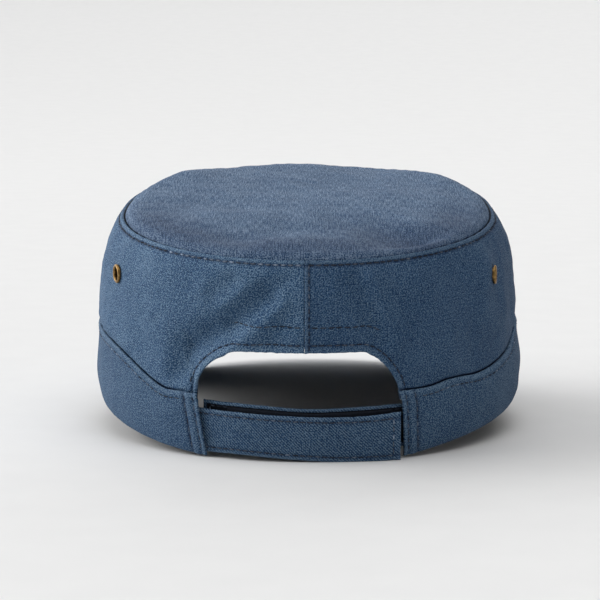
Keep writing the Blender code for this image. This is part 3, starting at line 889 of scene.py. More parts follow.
def add_mark(mesh, name, values):
    """Keep a value for each point that the material reads."""
    layer = mesh.attributes.new(name, "FLOAT", "POINT")
    layer.data.foreach_set("value", np.asarray(values, np.float32))


def outward(points, ring):
    """The outward direction at each point of a grid."""
    if ring:
        points = np.concatenate([points[:, -2:-1], points, points[:, 1:2]], axis=1)
    along, across = np.gradient(points, axis=0), np.gradient(points, axis=1)
    normal = unit(np.cross(across, along))
    return normal[:, 1:-1] if ring else normal


def add_edge_lines(grid):
    """Put the lines that carry a rounded edge into the first cells of a grid.

    The last value of each point says how far it sinks, as a share of the rounding.
    """
    first, second = grid[0], grid[1]
    width = np.maximum(np.linalg.norm(second[..., :3] - first[..., :3], axis=-1, keepdims=True), 1e-7)
    lines = []
    for away, sunk in EDGE_PROFILE:
        share = np.minimum(EDGE_ROUNDING * away / width, 0.9 * away)
        line = first + (second - first) * share
        line[..., -1] = np.maximum(line[..., -1], sunk)
        lines.append(line)
    return np.concatenate([np.stack(lines), grid[1:]])


def cloth(
    names, points, weave, wall, materials, marks, skip=None, other=None, lining=-1, ring=False, turned=False
):
    """A closed piece of cloth with rounded edges, from rows and columns of points on its outer face.

    names are the piece's own, its node's and its slot's; the slot's name is not used. weave holds
    each point's place in the flat cloth, in metres. marks are how worn and how dark each point is.
    skip marks the faces that are left out, and other those that have the second material. lining is
    the place of the inner face's material. A ring closes on itself. A turned piece has its columns the
    other way round.
    """
    name, node, slot = names
    shape = points.shape[:2]
    # The dark mark is painted shade, which the material multiplies in.
    marks = {mark: np.clip(each, 0, 1) for mark, each in zip(("worn", "dark"), marks)}
    if turned:
        points, weave = points[:, ::-1], weave[:, ::-1]
        marks = {mark: np.broadcast_to(each, shape)[:, ::-1] for mark, each in marks.items()}
        skip, other = (each if each is None else each[:, ::-1] for each in (skip, other))
    values = [np.broadcast_to(each, shape)[..., None] for each in marks.values()]
    grid = np.concatenate([points, outward(points, ring), weave, *values, np.zeros((*shape, 1))], axis=-1)
    grid = add_edge_lines(grid)
    if not ring:
        grid = add_edge_lines(grid[::-1])[::-1]
        grid = add_edge_lines(grid.swapaxes(0, 1)).swapaxes(0, 1)
        grid = add_edge_lines(grid[:, ::-1].swapaxes(0, 1)).swapaxes(0, 1)[:, ::-1]
    if ring:
        grid = grid[:, :-1]
    rows, columns = grid.shape[:2]
    count = rows * columns
    index = np.arange(count).reshape(rows, columns)
    if ring:
        index = np.concatenate([index, index[:, :1]], axis=1)
    faces = stacked(index[:-1, :-1], index[:-1, 1:], index[1:, 1:], index[1:, :-1])
    extra = len(EDGE_PROFILE) - 1
    kept = np.ones(faces.shape[:2], bool) if skip is None else ~np.pad(skip, extra)
    outer = faces[kept]
    looks = np.zeros(len(outer), int) if other is None else np.pad(other, extra)[kept].astype(int)

    ends = stacked(outer, np.roll(outer, -1, axis=1)).reshape(-1, 2)
    middle = index[-1, :-1] if ring else np.empty(0, int)
    shut = stacked(middle, np.roll(middle, -1))
    back = np.concatenate([ends, shut])[:, ::-1] @ (count, 1)
    rim = ends[~np.isin(ends @ (count, 1), back)]
    rim = stacked(rim[:, 1], rim[:, 0], rim[:, 0] + count, rim[:, 1] + count)
    faces = np.concatenate([outer, rim, outer[:, ::-1] + count]).tolist()
    lining = lining % len(materials)
    looks = np.concatenate([looks, np.zeros(len(rim), int), np.full(len(outer), lining)]).tolist()
    if ring:
        faces += [middle.tolist(), (middle[::-1] + count).tolist()]
        looks += [0, lining]

    grid = grid.reshape(count, -1)
    normal = unit(grid[:, 3:6])
    sunk = EDGE_ROUNDING * grid[:, -1:]
    shell = np.concatenate([grid[:, :3] - normal * sunk, grid[:, :3] - normal * (wall - sunk)])
    mesh = bpy.data.meshes.new(name)
    mesh.from_pydata(at_rest(shell), [], faces)
    corners = np.concatenate([np.array(face) for face in faces]) % count
    flat = mesh.uv_layers.new(name="weave")
    flat.data.foreach_set("uv", grid[corners, 6:8].ravel().astype(np.float32))
    for place, mark in enumerate(marks):
        add_mark(mesh, mark, np.tile(grid[:, 8 + place], 2))
    mesh.polygons.foreach_set("material_index", looks)
    mesh.update()
    mesh.shade_smooth()
    return add_piece(name, mesh, materials, slot, node)


def settle(piece):
    """Press flat what reaches below the floor."""
    mesh = piece.data
    places = np.empty(len(mesh.vertices) * 3)
    mesh.vertices.foreach_get("co", places)
    places = places.reshape(-1, 3)
    places[:, 2] = np.maximum(places[:, 2], 0.0)
    mesh.vertices.foreach_set("co", places.ravel())
    mesh.update()


def side_grid(side):
    """Angles and heights of one side panel's points: its lower rows follow the opening and the band."""
    edge = np.abs(EDGE_LINES[side])
    low_end = band_edge_height(side * angle_of(edge[:, 0])) - BAND_LAP
    edge = edge[edge[:, 1] > low_end]
    corner = edge[-1]
    edge[0, 0] = SEAM_HALF
    front = ARC_LENGTHS[-1] - SEAM_HALF
    lengths = between(corner[0], front, COLUMN_STEP)[1:]
    tucked = band_edge_height(side * angle_of(lengths)) - BAND_LAP
    steps = way_along(edge)
    walk = between(0, steps[-1], COLUMN_STEP * 0.8)
    opening = stacked(np.interp(walk, steps, edge[:, 0]), np.interp(walk, steps, edge[:, 1]))
    low = np.concatenate([opening, stacked(lengths, tucked)])

    fallen = ease((OPENING_TOP - opening[:, 1]) / (OPENING_TOP - corner[1]))
    spread = FAN * fallen
    lean = FAN * (front - lengths) / (front - corner[0])
    high = low[:, 0] + np.concatenate([spread, lean])
    high_angle = side * angle_of(high)
    low_angle = side * angle_of(low[:, 0])
    top = height_of(high_angle, 1 + SIDE_OVER / BACK_HEIGHT)
    tall = top - low[:, 1]

    near_edge = between(0, EDGE_ZONE, EDGE_STEP)
    near_top = between(SEAM_ZONE, 0, EDGE_STEP)
    start, end = EDGE_ZONE / tall, 1 - SEAM_ZONE / tall
    rows = [away / tall for away in near_edge]
    rows += [start + (end - start) * share for share in np.linspace(0, 1, MIDDLE_ROWS + 2)[1:-1]]
    rows += [1 - away / tall for away in near_top]
    v = np.array(rows)
    bend = 1 - (1 - v) ** FAN_CURVE
    length = low[:, 0] + (high - low[:, 0]) * bend
    height = low[:, 1] + tall * v
    return side * angle_of(length), height


def side_marks(angle, height):
    """Where the side's cloth is worn pale, and where painted shade darkens it in the crevice under the band's
    top edge and along the stitch rows.
    """
    up = level_of(angle, height)
    below = (1 - up) * wall_height(angle)
    above_band = height - band_edge_height(angle)
    hem = opening_distance(angle, height)
    beside = beside_side_seam(angle)
    lapped = np.sin(angle) < 0
    worn = np.where(lapped, LAPPED_SHARE, FREE_SHARE) * streak(below, *SIDE_TOP_WORN) + streak(hem, *HEM_WORN)
    worn += np.where(lapped, streak(beside, *SEAM_WORN), 0.0)
    # painted shade: a dark line in the crevice where the crown tucks under the band's top edge
    dark = 0.95 * ease((0.0007 - above_band) / 0.0005) * closed_seam(angle, hem)
    # painted shade in the grooves along the stitch rows
    dark += streak(below, *TOP_ROW_SHADE) + streak(hem, *HEM_ROW_SHADE)
    dark += np.where(lapped, streak(beside, *SEAM_ROW_SHADE), 0.0)
    return worn, dark


def make_side(side, materials):
    name = "side_left" if side > 0 else "side_right"
    angle, height = round_holes(*side_grid(side))
    middle_angle = (angle[:-1, :-1] + angle[1:, 1:]) / 2
    middle_height = (height[:-1, :-1] + height[1:, 1:]) / 2
    skip = eyelet_distance(middle_angle, middle_height) < EYELET_CUT
    points, weave = side_point(angle, height), stacked(arc(angle), height)
    names = f"{name}_cloth", name, "denim"
    cloth(names, points, weave, CLOTH, materials, side_marks(angle, height), skip, turned=side > 0)


def make_top(materials):
    inner = np.linspace(0.004, TOP_OUTER, TOP_RINGS)
    outer = np.linspace(TOP_OUTER, 1.0, TOP_OUTER_RINGS)[1:]
    out = np.concatenate([inner, outer])[::-1, None]
    angle, out = np.broadcast_arrays(np.linspace(math.pi, -math.pi, TOP_COLUMNS)[None, :], out)
    points = top_point(angle, out)
    points[:, -1] = points[:, 0]
    inside = (1 - out) * HALF_WIDTH
    turned = degrees_from_back(angle)
    left = ease(turned / 14) * (1 - ease((turned - 44) / 14))
    x, y = points[..., 0] / HALF_WIDTH, points[..., 1] / BACK_DEPTH
    # Painted shade where the near part of the top turns away from the lamps: a patch on the right shoulder
    # and a strip near the rim
    shoulder_shade = np.exp(-(((x + 0.50) / 0.36) ** 2) - ((y - 0.66 + 0.35 * (x + 0.5)) / 0.20) ** 2)
    rim_shade = ease((100 - np.abs(turned)) / 40) * streak(inside, *RIM_SHADE)
    # Painted shade along the top's seam, weaker on the lit left than on the right
    dark = (TOP_SEAM_SHADE_RIGHT + (TOP_SEAM_SHADE_LEFT - TOP_SEAM_SHADE_RIGHT) * left) * streak(inside, *TOP_SEAM_SHADE)
    dark = np.maximum(dark, SHOULDER_SHADE_SHARE * np.maximum(shoulder_shade, rim_shade))
    marks = streak(inside, *TOP_WORN), dark
    names = "crown_top_cloth", "crown_top", "denim_top"
    cloth(names, points, points[..., :2], CLOTH, materials, marks, ring=True)


def make_band(materials):
    whole = 2 * ARC_LENGTHS[-1] - 2 * OPENING_SILL_HALF
    near_end = between(0, BAND_END_ZONE, EDGE_STEP) / whole
    middle = between(BAND_END_ZONE, whole - BAND_END_ZONE, COLUMN_STEP)[1:-1] / whole
    u = np.concatenate([near_end, middle, 1 - near_end[::-1]])[None, :]
    near_top = between(0, SEAM_ZONE, EDGE_STEP)
    body = np.linspace(0, 1, BAND_BODY_ROWS)
    share = np.concatenate([body, np.ones(near_top.size)])[:, None]
    away = np.concatenate([np.full(body.size, near_top[-1] + EDGE_STEP), near_top[::-1]])[:, None]
    left, right = 0.0, 2 * math.pi
    for _ in range(6):
        angle = left + (right - left) * u
        low = rim_height(angle)
        height = low + (band_edge_height(angle) - away - low) * share
        left = band_end(1, height)
        right = band_end(-1, height) + 2 * math.pi
    points = band_point(angle, height)
    around = arc(one_turn(angle))
    around = np.where(angle > math.pi, around + 2 * ARC_LENGTHS[-1], around)
    below = band_edge_height(angle) - height
    end = np.minimum(np.abs(around - around[:, :1]), np.abs(around - around[:, -1:]))
    worn = streak(below, *BAND_EDGE_WORN) + sum(streak(end, *line) for line in BAND_END_WORN)
    # painted shade in the grooves of the two rows at each end of the band
    dark = sum(streak(end, *line) for line in BAND_END_SHADE)
    names = "band_cloth", "band", "denim_band"
    cloth(names, points, stacked(around, height), BAND_WALL, materials, (worn, dark), turned=True)


def make_strap(node, place, length, materials, inner):
    along = between(0, length, STRAP_STEP)[None, :] / length
    along, v = np.broadcast_arrays(along, np.linspace(0, 1, STRAP_ROWS)[:, None])
    points = place(along, v)
    weave = stacked(points[..., 0], points[..., 2] + 0.03)
    inside = STRAP_HEIGHT * np.minimum(v, 1 - v)
    free_end = (1 - along) * length
    worn = streak(inside, *STRAP_WORN) + streak(free_end, *STRAP_END_WORN)
    # painted shade along the grooves of the strap's stitch rows
    dark = streak(inside, *STRAP_ROW_SHADE)
    taped = None
    if inner:
        taped = (inside[:-1, 1:] > TAPE_MARGIN) & (free_end[:-1, 1:] > TAPE_MARGIN / 2)
    names = f"{node}_cloth", node, "strap_cloth"
    return cloth(names, points, weave, STRAP_WALL, materials, (worn, dark), None, taped, 0, turned=inner)


def make_fastener(materials):
    half = FASTENER_LENGTH / 2 / INNER_LENGTH
    u, v = np.linspace(0, 1, FASTENER_COLUMNS)[None, :], np.linspace(0, 1, FASTENER_ROWS)[:, None]
    u, v = np.broadcast_arrays(u, v)
    points = inner_strap_point(0.5 + half * (2 * u - 1), np.full(u.shape, 0.5))
    points[..., 1] += GAP + FASTENER_WALL - FASTENER_EASE
    points[..., 2] += FASTENER_HEIGHT * (v - 0.5)
    names = "strap_fastener_tape", "strap_fastener", "hook_tape"
    cloth(names, points, points[..., [0, 2]], FASTENER_WALL - 2 * FASTENER_EASE, materials, (), turned=True)


def make_peak(materials):
    across = PEAK_TRIM * np.linspace(-1, 1, PEAK_COLUMNS)[None, :]
    near_edge = 1 - np.linspace(0, PEAK_EDGE, PEAK_EDGE_ROWS)
    out = np.concatenate([near_edge, np.linspace(1 - PEAK_EDGE, 0, PEAK_ROWS)[1:]])[:, None]
    across, out = np.broadcast_arrays(across, out)
    points = peak_point(across, out)
    worn = streak((1 - out) * PEAK_LENGTH, *PEAK_WORN)
    names = "peak_cloth", "peak", "peak_cloth"
    return cloth(names, points, points[..., :2], PEAK_WALL, materials, (worn, 0.0))


def eyelet_profile():
    """Half of an eyelet's section, with its rolled rim: radius and height."""
    lip = EYELET_RIM
    low = -CLOTH - 2 * GAP
    roll_middle = (EYELET_HOLE + EYELET_FLANGE) / 2
    roll_half = (EYELET_FLANGE - EYELET_HOLE) / 2
    over = []
    for step in range(11):
        turn = math.pi * step / 10
        over.append((roll_middle + roll_half * math.cos(turn), lip * (0.06 + 0.94 * math.sin(turn) ** 0.8)))
    return [
        (EYELET_BARREL, 0.0),
        (EYELET_BARREL, low),
        (EYELET_FLANGE * 0.95, low),
        (EYELET_FLANGE * 0.95, low - lip * 0.25),
        (EYELET_FLANGE * 0.80, low - lip * 0.60),
        (EYELET_HOLE + lip * 0.3, low - lip * 0.60),
        (EYELET_HOLE, low - lip * 0.40),
        (EYELET_HOLE, -lip * 0.2),
        *over[::-1],
        (EYELET_FLANGE * 0.99, -0.00005),
    ]


def cad_wall_point(angle, up):
    """A point of the solid's wall, where the eyelets of the solids sit."""
    above_band = height_of(angle, up) - band_edge_height(angle)
    return Vector(wall_point(np.array(angle), np.array(up), main_relief(angle, up, above_band)))


def make_eyelets(material):
    step = 0.02
    for place, degrees, sideways, down in EYELETS:
        angle = math.radians(degrees)
        here = cad_wall_point(angle, EYELET_LEVEL)
        aside = cad_wall_point(angle + step, EYELET_LEVEL) - cad_wall_point(angle - step, EYELET_LEVEL)
        above = cad_wall_point(angle, EYELET_LEVEL + step) - cad_wall_point(angle, EYELET_LEVEL - step)
        normal = above.cross(aside).normalized()
        if normal.x * here.x < 0:
            normal.negate()
        normal += aside.normalized() * math.copysign(math.tan(math.radians(sideways)), degrees)
        normal -= above.normalized() * math.tan(math.radians(down))
        normal.normalize()
        across = above.cross(normal).normalized()
        turned = Matrix((across, normal.cross(across), normal)).transposed()
        seat = REST @ Matrix.Translation(here + normal * GAP) @ turned.to_4x4()
        profile = eyelet_profile()
        points = []
        for number in range(EYELET_SIDES):
            turn = 2 * math.pi * number / EYELET_SIDES
            for radius, height in profile:
                points.append(seat @ Vector((radius * math.cos(turn), radius * math.sin(turn), height)))
        faces = ring_faces(EYELET_SIDES + 1, len(profile))
        faces = [tuple(corner % len(points) for corner in face) for face in faces]
        mesh = bpy.data.meshes.new(f"eyelet_{place}_ring")
        mesh.from_pydata(points, [], faces)
        built = bmesh.new()
        built.from_mesh(mesh)
        bmesh.ops.recalc_face_normals(built, faces=built.faces)
        built.to_mesh(mesh)
        built.free()
        mesh.shade_smooth()
        mesh.set_sharp_from_angle(angle=math.radians(48))
        # painted shade: the barrel and the underside, down in the hole, take the dark tint
        add_mark(mesh, "dark", [height < -EYELET_RIM * 0.1 for _, height in profile] * EYELET_SIDES)
        add_piece(mesh.name, mesh, [material], "brass", f"eyelet_{place}")


def spaced(path, place):
    """Start places of the stitches along a path of a surface, their length, and each point's way along."""
    points = place(*path.T)
    steps = np.concatenate([[0], np.cumsum(np.linalg.norm(np.diff(points, axis=0), axis=1))])
    count = max(1, int(steps[-1] / STITCH_PITCH))
    starts = (np.arange(count) + (1 - STITCH_SHARE) / 2) * steps[-1] / count
    return starts, STITCH_SHARE * steps[-1] / count, steps


class Thread:
    """Collects stitches of many rows into one mesh."""

    def __init__(self, seed):
        self.points = []
        self.faces = []
        self.flat = []
        self.worn = []
        self.chance = np.random.default_rng(seed)

    def row(self, path, place, worn=0.0, radius=THREAD_RADIUS):
        starts, run, steps = spaced(path, place)
        shares = np.linspace(0, 1, THREAD_RINGS)
        arched = np.sin(math.pi * shares)
        turns = np.arange(THREAD_SIDES) / THREAD_SIDES * 2 * math.pi
        for start in starts:
            ways = start + self.chance.normal(0, THREAD_STRAY) + run * shares
            coords = np.stack([np.interp(ways, steps, path[:, 0]), np.interp(ways, steps, path[:, 1])])
            middle = place(*coords)
            one = place(*(coords + [[NUDGE], [0.0]])) - middle
            two = place(*(coords + [[0.0], [NUDGE]])) - middle
            normal = unit(np.cross(one, two))
            if (normal * (middle * (1, 1, 0) + (0, 0, 1e-3))).sum() < 0:
                normal = -normal
            along = unit(np.gradient(middle, axis=0))
            aside = np.cross(along, normal)
            tilt = self.chance.normal(0, 0.05) * (shares - 0.5) * run
            rise = radius * (0.95 * arched**0.6 - 0.40)
            middle = middle + normal * rise[:, None] + aside * tilt[:, None]
            size = radius * (0.55 + 0.45 * arched**0.5)
            base = len(self.points)
            ring = (
                middle[:, None, :]
                + size[:, None, None] * np.cos(turns)[None, :, None] * aside[:, None, :]
                + size[:, None, None] * np.sin(turns)[None, :, None] * normal[:, None, :]
            )
            self.points.extend(ring.reshape(-1, 3))
            shade = worn * self.chance.uniform(0.0, 1.6) + 0.5 * max(0.0, self.chance.normal(0, 0.35))
            self.worn.extend(np.repeat(np.minimum(1.0, shade * arched**1.5), THREAD_SIDES))
            around = np.arange(THREAD_SIDES) / THREAD_SIDES * 0.0015
            self.flat.extend((share * run, turn) for share in shares for turn in around)
            last = base + (THREAD_RINGS - 1) * THREAD_SIDES
            self.faces.extend((np.array(ring_faces(THREAD_RINGS, THREAD_SIDES)) + base).tolist())
            self.faces.append(list(range(base, base + THREAD_SIDES)))
            self.faces.append(list(range(last, last + THREAD_SIDES))[::-1])

    def finish(self, name, material, slot):
        mesh = bpy.data.meshes.new(name)
        points = at_rest(np.array(self.points))
        points[:, 2] = np.maximum(points[:, 2], 0.0001)
        mesh.from_pydata(points, [], self.faces)
        flat = mesh.uv_layers.new(name="weave")
        corners = [corner for face in self.faces for corner in face]
        flat.data.foreach_set("uv", np.array(self.flat, np.float32)[corners].ravel())
        add_mark(mesh, "worn", self.worn)
        mesh.shade_smooth()
        add_piece(name, mesh, [material], slot)


def offset_path(side, away, top_only=None):
    """A path on the side panel at a distance from the opening's edge, from the middle outwards."""
    line = EDGE_LINES[side]
    run = unit(np.gradient(line, axis=0))
    path = line + stacked(-run[:, 1], run[:, 0]) * side * away
    keep = path[:, 1] > band_edge_height(angle_of(path[:, 0])) + THREAD_MARGIN / 2
    if top_only:
        keep &= np.abs(path[:, 0]) < top_only
    keep &= np.abs(path[:, 0]) > THREAD_MARGIN
    first = int(np.argmax(keep))
    broken = np.flatnonzero(~keep[first:])
    path = path[first : first + broken[0]] if broken.size else path[first:]
    return stacked(angle_of(path[:, 0]), path[:, 1])


def sew_crown(material):
    thread = Thread(71)
    for side in (1, -1):
        angle = side * np.linspace(0.012, math.pi - 0.012, 400)
        height = height_of(angle, 1.0) - TOP_ROW
        pale = (side > 0) & (angle < PALE_TOP_THREAD)
        for part, worn in ((pale, 0.42), (~pale, 0.04)):
            path = stacked(angle, height)[part]
            if len(path):
                thread.row(path, side_point, worn=worn, radius=TOP_THREAD_RADIUS)
        thread.row(offset_path(side, HEM_ROW), side_point, worn=0.08)
        thread.row(offset_path(side, FACING_ROW, FACING_REACH), side_point, worn=0.08)
    height = np.linspace(OPENING_TOP + THREAD_MARGIN / 2, BACK_HEIGHT - THREAD_MARGIN, 60)
    angle = np.full(height.shape, angle_of(-SIDE_SEAM_ROW))
    thread.row(stacked(angle, height), side_point, worn=0.02)
    front = angle_of(SIDE_SEAM_ROW - ARC_LENGTHS[-1])
    height = np.linspace(BAND_HEIGHT + 0.001, FRONT_HEIGHT - THREAD_MARGIN, 60)
    thread.row(stacked(np.full(height.shape, front), height), side_point, worn=0.02)
    thread.finish("stitches_crown", material, "denim")


def sew_band(material):
    thread = Thread(73)
    angle = np.linspace(0.50, 2 * math.pi - 0.47, 700)
    height = band_edge_height(angle) - BAND_ROW
    start = band_end(1, height[:1])[0]
    end = band_end(-1, height[-1:])[0] + 2 * math.pi
    inset = BAND_ROW_INSET / HALF_WIDTH
    keep = (angle > start + inset) & (angle < end - inset)
    thread.row(stacked(angle, height)[keep], band_point, worn=0.35)
    for side in (1, -1):
        for away in BAND_END_ROWS:
            height = np.linspace(0.0015, band_edge_height(band_end(side, 0.02)) - THREAD_MARGIN, 60)
            angle = angle_of(arc(band_end(side, height)) + side * away)
            thread.row(stacked(angle, height), band_point, worn=0.15)
    thread.finish("stitches_band", material, "denim_band")


def sew_straps(material):
    thread = Thread(75)
    for place, length in ((outer_strap_point, OUTER_LENGTH), (inner_strap_point, INNER_LENGTH)):
        margin = STRAP_ROW / STRAP_HEIGHT
        along = np.linspace(0.02, 1 - STRAP_END_ROW / length, 160)
        for v in (margin, 1 - margin):
            thread.row(stacked(along, np.full(along.shape, v)), place, worn=0.12)
        v = np.linspace(margin, 1 - margin, 40)
        end = np.full(v.shape, 1 - STRAP_END_ROW / length)
        thread.row(stacked(end, v), place, worn=0.55)
    thread.finish("stitches_straps", material, "strap_cloth")


def sew_peak(material):
    thread = Thread(77)
    across = PEAK_TRIM * np.linspace(-0.985, 0.985, 500)
    whole = np.linalg.norm(peak_point(across, np.ones(500)) - peak_point(across, np.zeros(500)), axis=1)
    for row in PEAK_ROWS_IN:
        keep = whole > row + 0.004
        path = stacked(across, 1 - row / np.maximum(whole, 0.001))[keep]
        thread.row(path, peak_point, worn=0.12)
    thread.finish("stitches_peak", material, "peak_cloth")


class Look:
    """A material's node tree, with short ways to add the nodes that the looks share."""

    def __init__(self, name):
        self.material = bpy.data.materials.new(name)
        self.material.use_nodes = True
        self.tree = self.material.node_tree
        self.shader = self.tree.nodes["Principled BSDF"]

    def feed(self, node, values):
        for place, value in values.items():
            if isinstance(value, bpy.types.NodeSocket):
                self.tree.links.new(value, node.inputs[place])
            else:
                node.inputs[place].default_value = value

    def node(self, kind, values=None, **settings):
        made = self.tree.nodes.new(kind)
        for name, setting in settings.items():
            setattr(made, name, setting)
        self.feed(made, values or {})
        return made

    def math(self, kind, one, two=0.0):
        return self.node("ShaderNodeMath", {0: one, 1: two}, operation=kind).outputs[0]

    def sum(self, *terms):
        """The sum of terms. A pair is a term and its factor."""
        terms = [self.math("MULTIPLY", *term) if isinstance(term, tuple) else term for term in terms]
        total = terms[0]
        for term in terms[1:]:
            total = self.math("ADD", total, term)
        return total

    def swing(self, value):
        """How far a noise is off its middle."""
        return self.math("SUBTRACT", value, 0.5)

    def scaled(self, vector, scale):
        return self.node("ShaderNodeVectorMath", {0: vector, 1: scale}, operation="MULTIPLY").outputs[0]

    def noise(self, vector, scale, detail=2.0, roughness=0.5, distortion=0.0):
        values = {"Vector": self.scaled(vector, scale), "Scale": 1.0, "Detail": detail}
        values |= {"Roughness": roughness, "Distortion": distortion}
        return self.node("ShaderNodeTexNoise", values).outputs["Fac"]

    def weave(self):
        """The place in the flat cloth, in millimetres."""
        flat = self.node("ShaderNodeUVMap", uv_map="weave").outputs["UV"]
        return self.scaled(flat, (1000.0, 1000.0, 1000.0))

    def place(self):
        return self.node("ShaderNodeTexCoord").outputs["Object"]

    def mark(self, name):
        return self.node("ShaderNodeAttribute", attribute_name=name).outputs["Fac"]

    def ramp(self, factor, places, colors):
        made = self.node("ShaderNodeValToRGB", {"Fac": factor})
        elements = made.color_ramp.elements
        while len(elements) < len(places):
            elements.new(0.5)
        for element, place, color in zip(elements, places, colors):
            element.position = place
            element.color = (*color, 1.0)
        return made.outputs["Color"]

    # Painted shade: multiply a colour towards a dark tint as far as each point's dark mark says.
    def with_painted_shade(self, color, tint):
        values = {0: self.mark("dark"), 6: color, 7: tint}
        return self.node("ShaderNodeMix", values, data_type="RGBA", blend_type="MULTIPLY").outputs[2]

    def finish(self, color, roughness, specular, bump=None):
        """Set the shader. A bump is its height, strength and distance."""
        self.feed(self.shader, {"Base Color": color, "Roughness": roughness, "Specular IOR Level": specular})
        if bump:
            made = self.node("ShaderNodeBump", dict(zip(("Height", "Strength", "Distance"), bump)))
            self.feed(self.shader, {"Normal": made.outputs["Normal"]})
        return self.material


def denim(name, colors, warp=(2.2, 0.22), weft=(0.22, 2.0), streaks=1.0, twill=(1.15, 0.10, 1.0)):
    """Twill cloth: indigo yarns one way, pale ones the other, uneven in thickness and colour."""
    look = Look(name)
    flat = look.weave()
    across, along, _ = look.node("ShaderNodeSeparateXYZ", {0: flat}).outputs
    pitch, strength, turn = twill
    slant = look.sum(across, (along, turn), (look.noise(flat, (0.9, 0.9, 0.9), 1.0), 0.55))
    ribs = look.math("SINE", look.math("MULTIPLY", slant, 2 * math.pi / pitch))
    yarn = look.noise(flat, (*warp, 1.0), 2.0, 0.6)
    slub = look.noise(flat, (*weft, 1.0), 2.0, 0.6)
    fleck = look.noise(flat, (1.9, 1.8, 1.0), 2.0, 0.7)
    patch = look.noise(flat, (0.045, 0.045, 0.045), 3.0, 0.55)
    tone = look.sum(
        (look.swing(yarn), 1.2 * streaks),
        (look.swing(slub), 0.6),
        (look.swing(fleck), 4.6),
        (ribs, strength),
        (look.swing(patch), 0.5),
        (look.mark("worn"), 0.38),
        0.5,
    )
    # painted shade darkens the yarn colour in crevices, stitch grooves and on the top's near shoulder
    color = look.with_painted_shade(look.ramp(tone, (0.05, 0.50, 0.95), colors), SHADE_TINT)
    height = look.sum((ribs, 0.25), (fleck, 1.4), (yarn, 0.6))
    return look.finish(color, 0.75, 0.2, (height, 0.6, 0.0003))


def thread_look():
    look = Look("thread_navy")
    flat = look.weave()
    along, around, _ = look.node("ShaderNodeSeparateXYZ", {0: flat}).outputs
    twist = look.math("MULTIPLY", look.sum((along, 2.2), around), 2 * math.pi / 0.9)
    twist = look.math("SINE", twist)
    fuzz = look.swing(look.noise(flat, (3.0, 3.0, 3.0), 2.0))
    tone = look.sum(look.mark("worn"), (twist, 0.08), (fuzz, 0.3))
    return look.finish(look.ramp(tone, (0.0, 1.0), NAVY), 0.7, 0.15, (twist, 0.6, 0.00008))


def tape_look():
    look = Look("hook_tape_loops")
    loops = look.noise(look.weave(), (2.6, 2.6, 2.6), 4.0, 0.8, 1.5)
    return look.finish(look.ramp(loops, (0.3, 0.75), TAPE), 0.9, 0.1, (loops, 0.9, 0.0005))


def brass_look():
    look = Look("antique_brass")
    blotch = look.noise(look.place(), (900.0, 900.0, 900.0), 4.0, 0.6)
    scratch = look.noise(look.place(), (5200.0, 1400.0, 2600.0), 3.0, 0.7)
    # painted shade inside the eyelet's hole
    color = look.with_painted_shade(look.ramp(blotch, (0.25, 0.55, 0.8), BRASS), BRASS_SHADE_TINT)
    look.feed(look.shader, {"Metallic": 1.0})
    return look.finish(color, look.sum((blotch, 0.22), 0.30), 0.5, (scratch, 0.25, 0.00005))


def floor_look():
    look = Look("pale_floor")
    grain = look.noise(look.place(), (40.0, 40.0, 40.0), 2.0)
    return look.finish(look.ramp(grain, (0.3, 0.7), FLOOR), 0.75, 0.15)


def make_floor():
    """A plain floor that is flat round the cap and curves up gently far behind it on all sides."""
    mesh = bpy.data.meshes.new("floor")
    rings = np.concatenate([[FLOOR_FLAT / 2], np.linspace(FLOOR_FLAT, FLOOR_REACH, FLOOR_RINGS)])
    turns = np.arange(FLOOR_STEPS) / FLOOR_STEPS * 2 * math.pi
    rise = FLOOR_RISE * (np.clip(rings - FLOOR_FLAT, 0, None) / (FLOOR_REACH - FLOOR_FLAT)) ** 2
    points = [(r * math.cos(t), r * math.sin(t), z) for r, z in zip(rings, rise) for t in turns]
    mesh.from_pydata(points, [], [tuple(range(FLOOR_STEPS)), *ring_faces(len(rings), FLOOR_STEPS)])
    mesh.shade_smooth()
    mesh.materials.append(floor_look())
    made = bpy.data.objects.new("floor", mesh)
    bpy.context.scene.collection.objects.link(made)


def direction(azimuth, elevation):
    """The way towards something, by its degrees from the back and its degrees up."""
    turn, rise = math.radians(azimuth), math.radians(elevation)
    return Vector((math.sin(turn) * math.cos(rise), math.cos(turn) * math.cos(rise), math.sin(rise)))


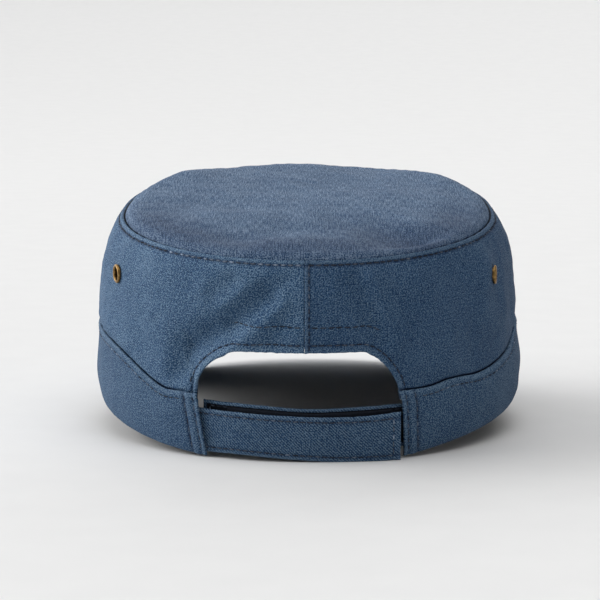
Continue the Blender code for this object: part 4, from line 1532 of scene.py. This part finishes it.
def make_light():
    world = bpy.data.worlds.new("studio")
    world.use_nodes = True
    sky = world.node_tree.nodes["Background"]
    sky.inputs["Color"].default_value = (1.0, 1.0, 1.0, 1.0)
    sky.inputs["Strength"].default_value = WORLD_STRENGTH
    bpy.context.scene.world = world
    for name, azimuth, elevation, strength, softness in LAMPS:
        data = bpy.data.lights.new(name, "SUN")
        data.energy = strength
        data.angle = math.radians(softness)
        lamp = bpy.data.objects.new(name, data)
        lamp.rotation_euler = direction(azimuth, elevation).to_track_quat("Z", "Y").to_euler()
        bpy.context.scene.collection.objects.link(lamp)


def make_camera():
    data = bpy.data.cameras.new("camera")
    camera = bpy.data.objects.new("camera", data)
    way = direction(*CAMERA_DEGREES)
    camera.location = Vector(CAMERA_TARGET) + way * CAMERA_DISTANCE
    camera.rotation_euler = way.to_track_quat("Z", "Y").to_euler()
    data.sensor_width = SENSOR
    data.lens = SENSOR * FOCAL_PIXELS / PICTURE_PIXELS
    data.shift_x = SHIFT_PIXELS / PICTURE_PIXELS
    data.clip_start = 0.01
    data.clip_end = 100.0
    bpy.context.scene.collection.objects.link(camera)
    bpy.context.scene.camera = camera


bpy.context.scene.view_settings.view_transform = "Standard"
make_camera()
make_light()
make_floor()

# painted shade on the inner faces of the cloth
shaded_reverse = denim("denim_reverse", SHADED_REVERSE)
band_denim = denim("denim_band_cloth", INDIGO)
peak_denim = denim("denim_peak", INDIGO)
strap_denim = denim("denim_strap", INDIGO, twill=(1.3, 0.40, -1.0))
# the top is partly faded and partly painted with the sheen of grazing light
top_denim = denim("denim_crown_top", FADED_AND_SHEEN, warp=(2.0, 0.17), weft=(0.12, 0.50), streaks=2.0)
navy = thread_look()
tape = tape_look()

# the left side panel takes the painted-light copy of the indigo and the right one the painted-shade copy
make_side(1, [denim("denim_side_left", LIT_INDIGO), shaded_reverse])
make_side(-1, [denim("denim_side_right", SHADED_INDIGO), shaded_reverse])
make_top([top_denim, shaded_reverse])
make_band([band_denim, shaded_reverse])
settle(make_strap("strap_outer", outer_strap_point, OUTER_LENGTH, [strap_denim], False))
make_strap("strap_inner", inner_strap_point, INNER_LENGTH, [strap_denim, tape], True)
make_fastener([tape])
settle(make_peak([peak_denim]))
make_eyelets(brass_look())
sew_crown(navy)
sew_band(navy)
sew_straps(navy)
sew_peak(navy)
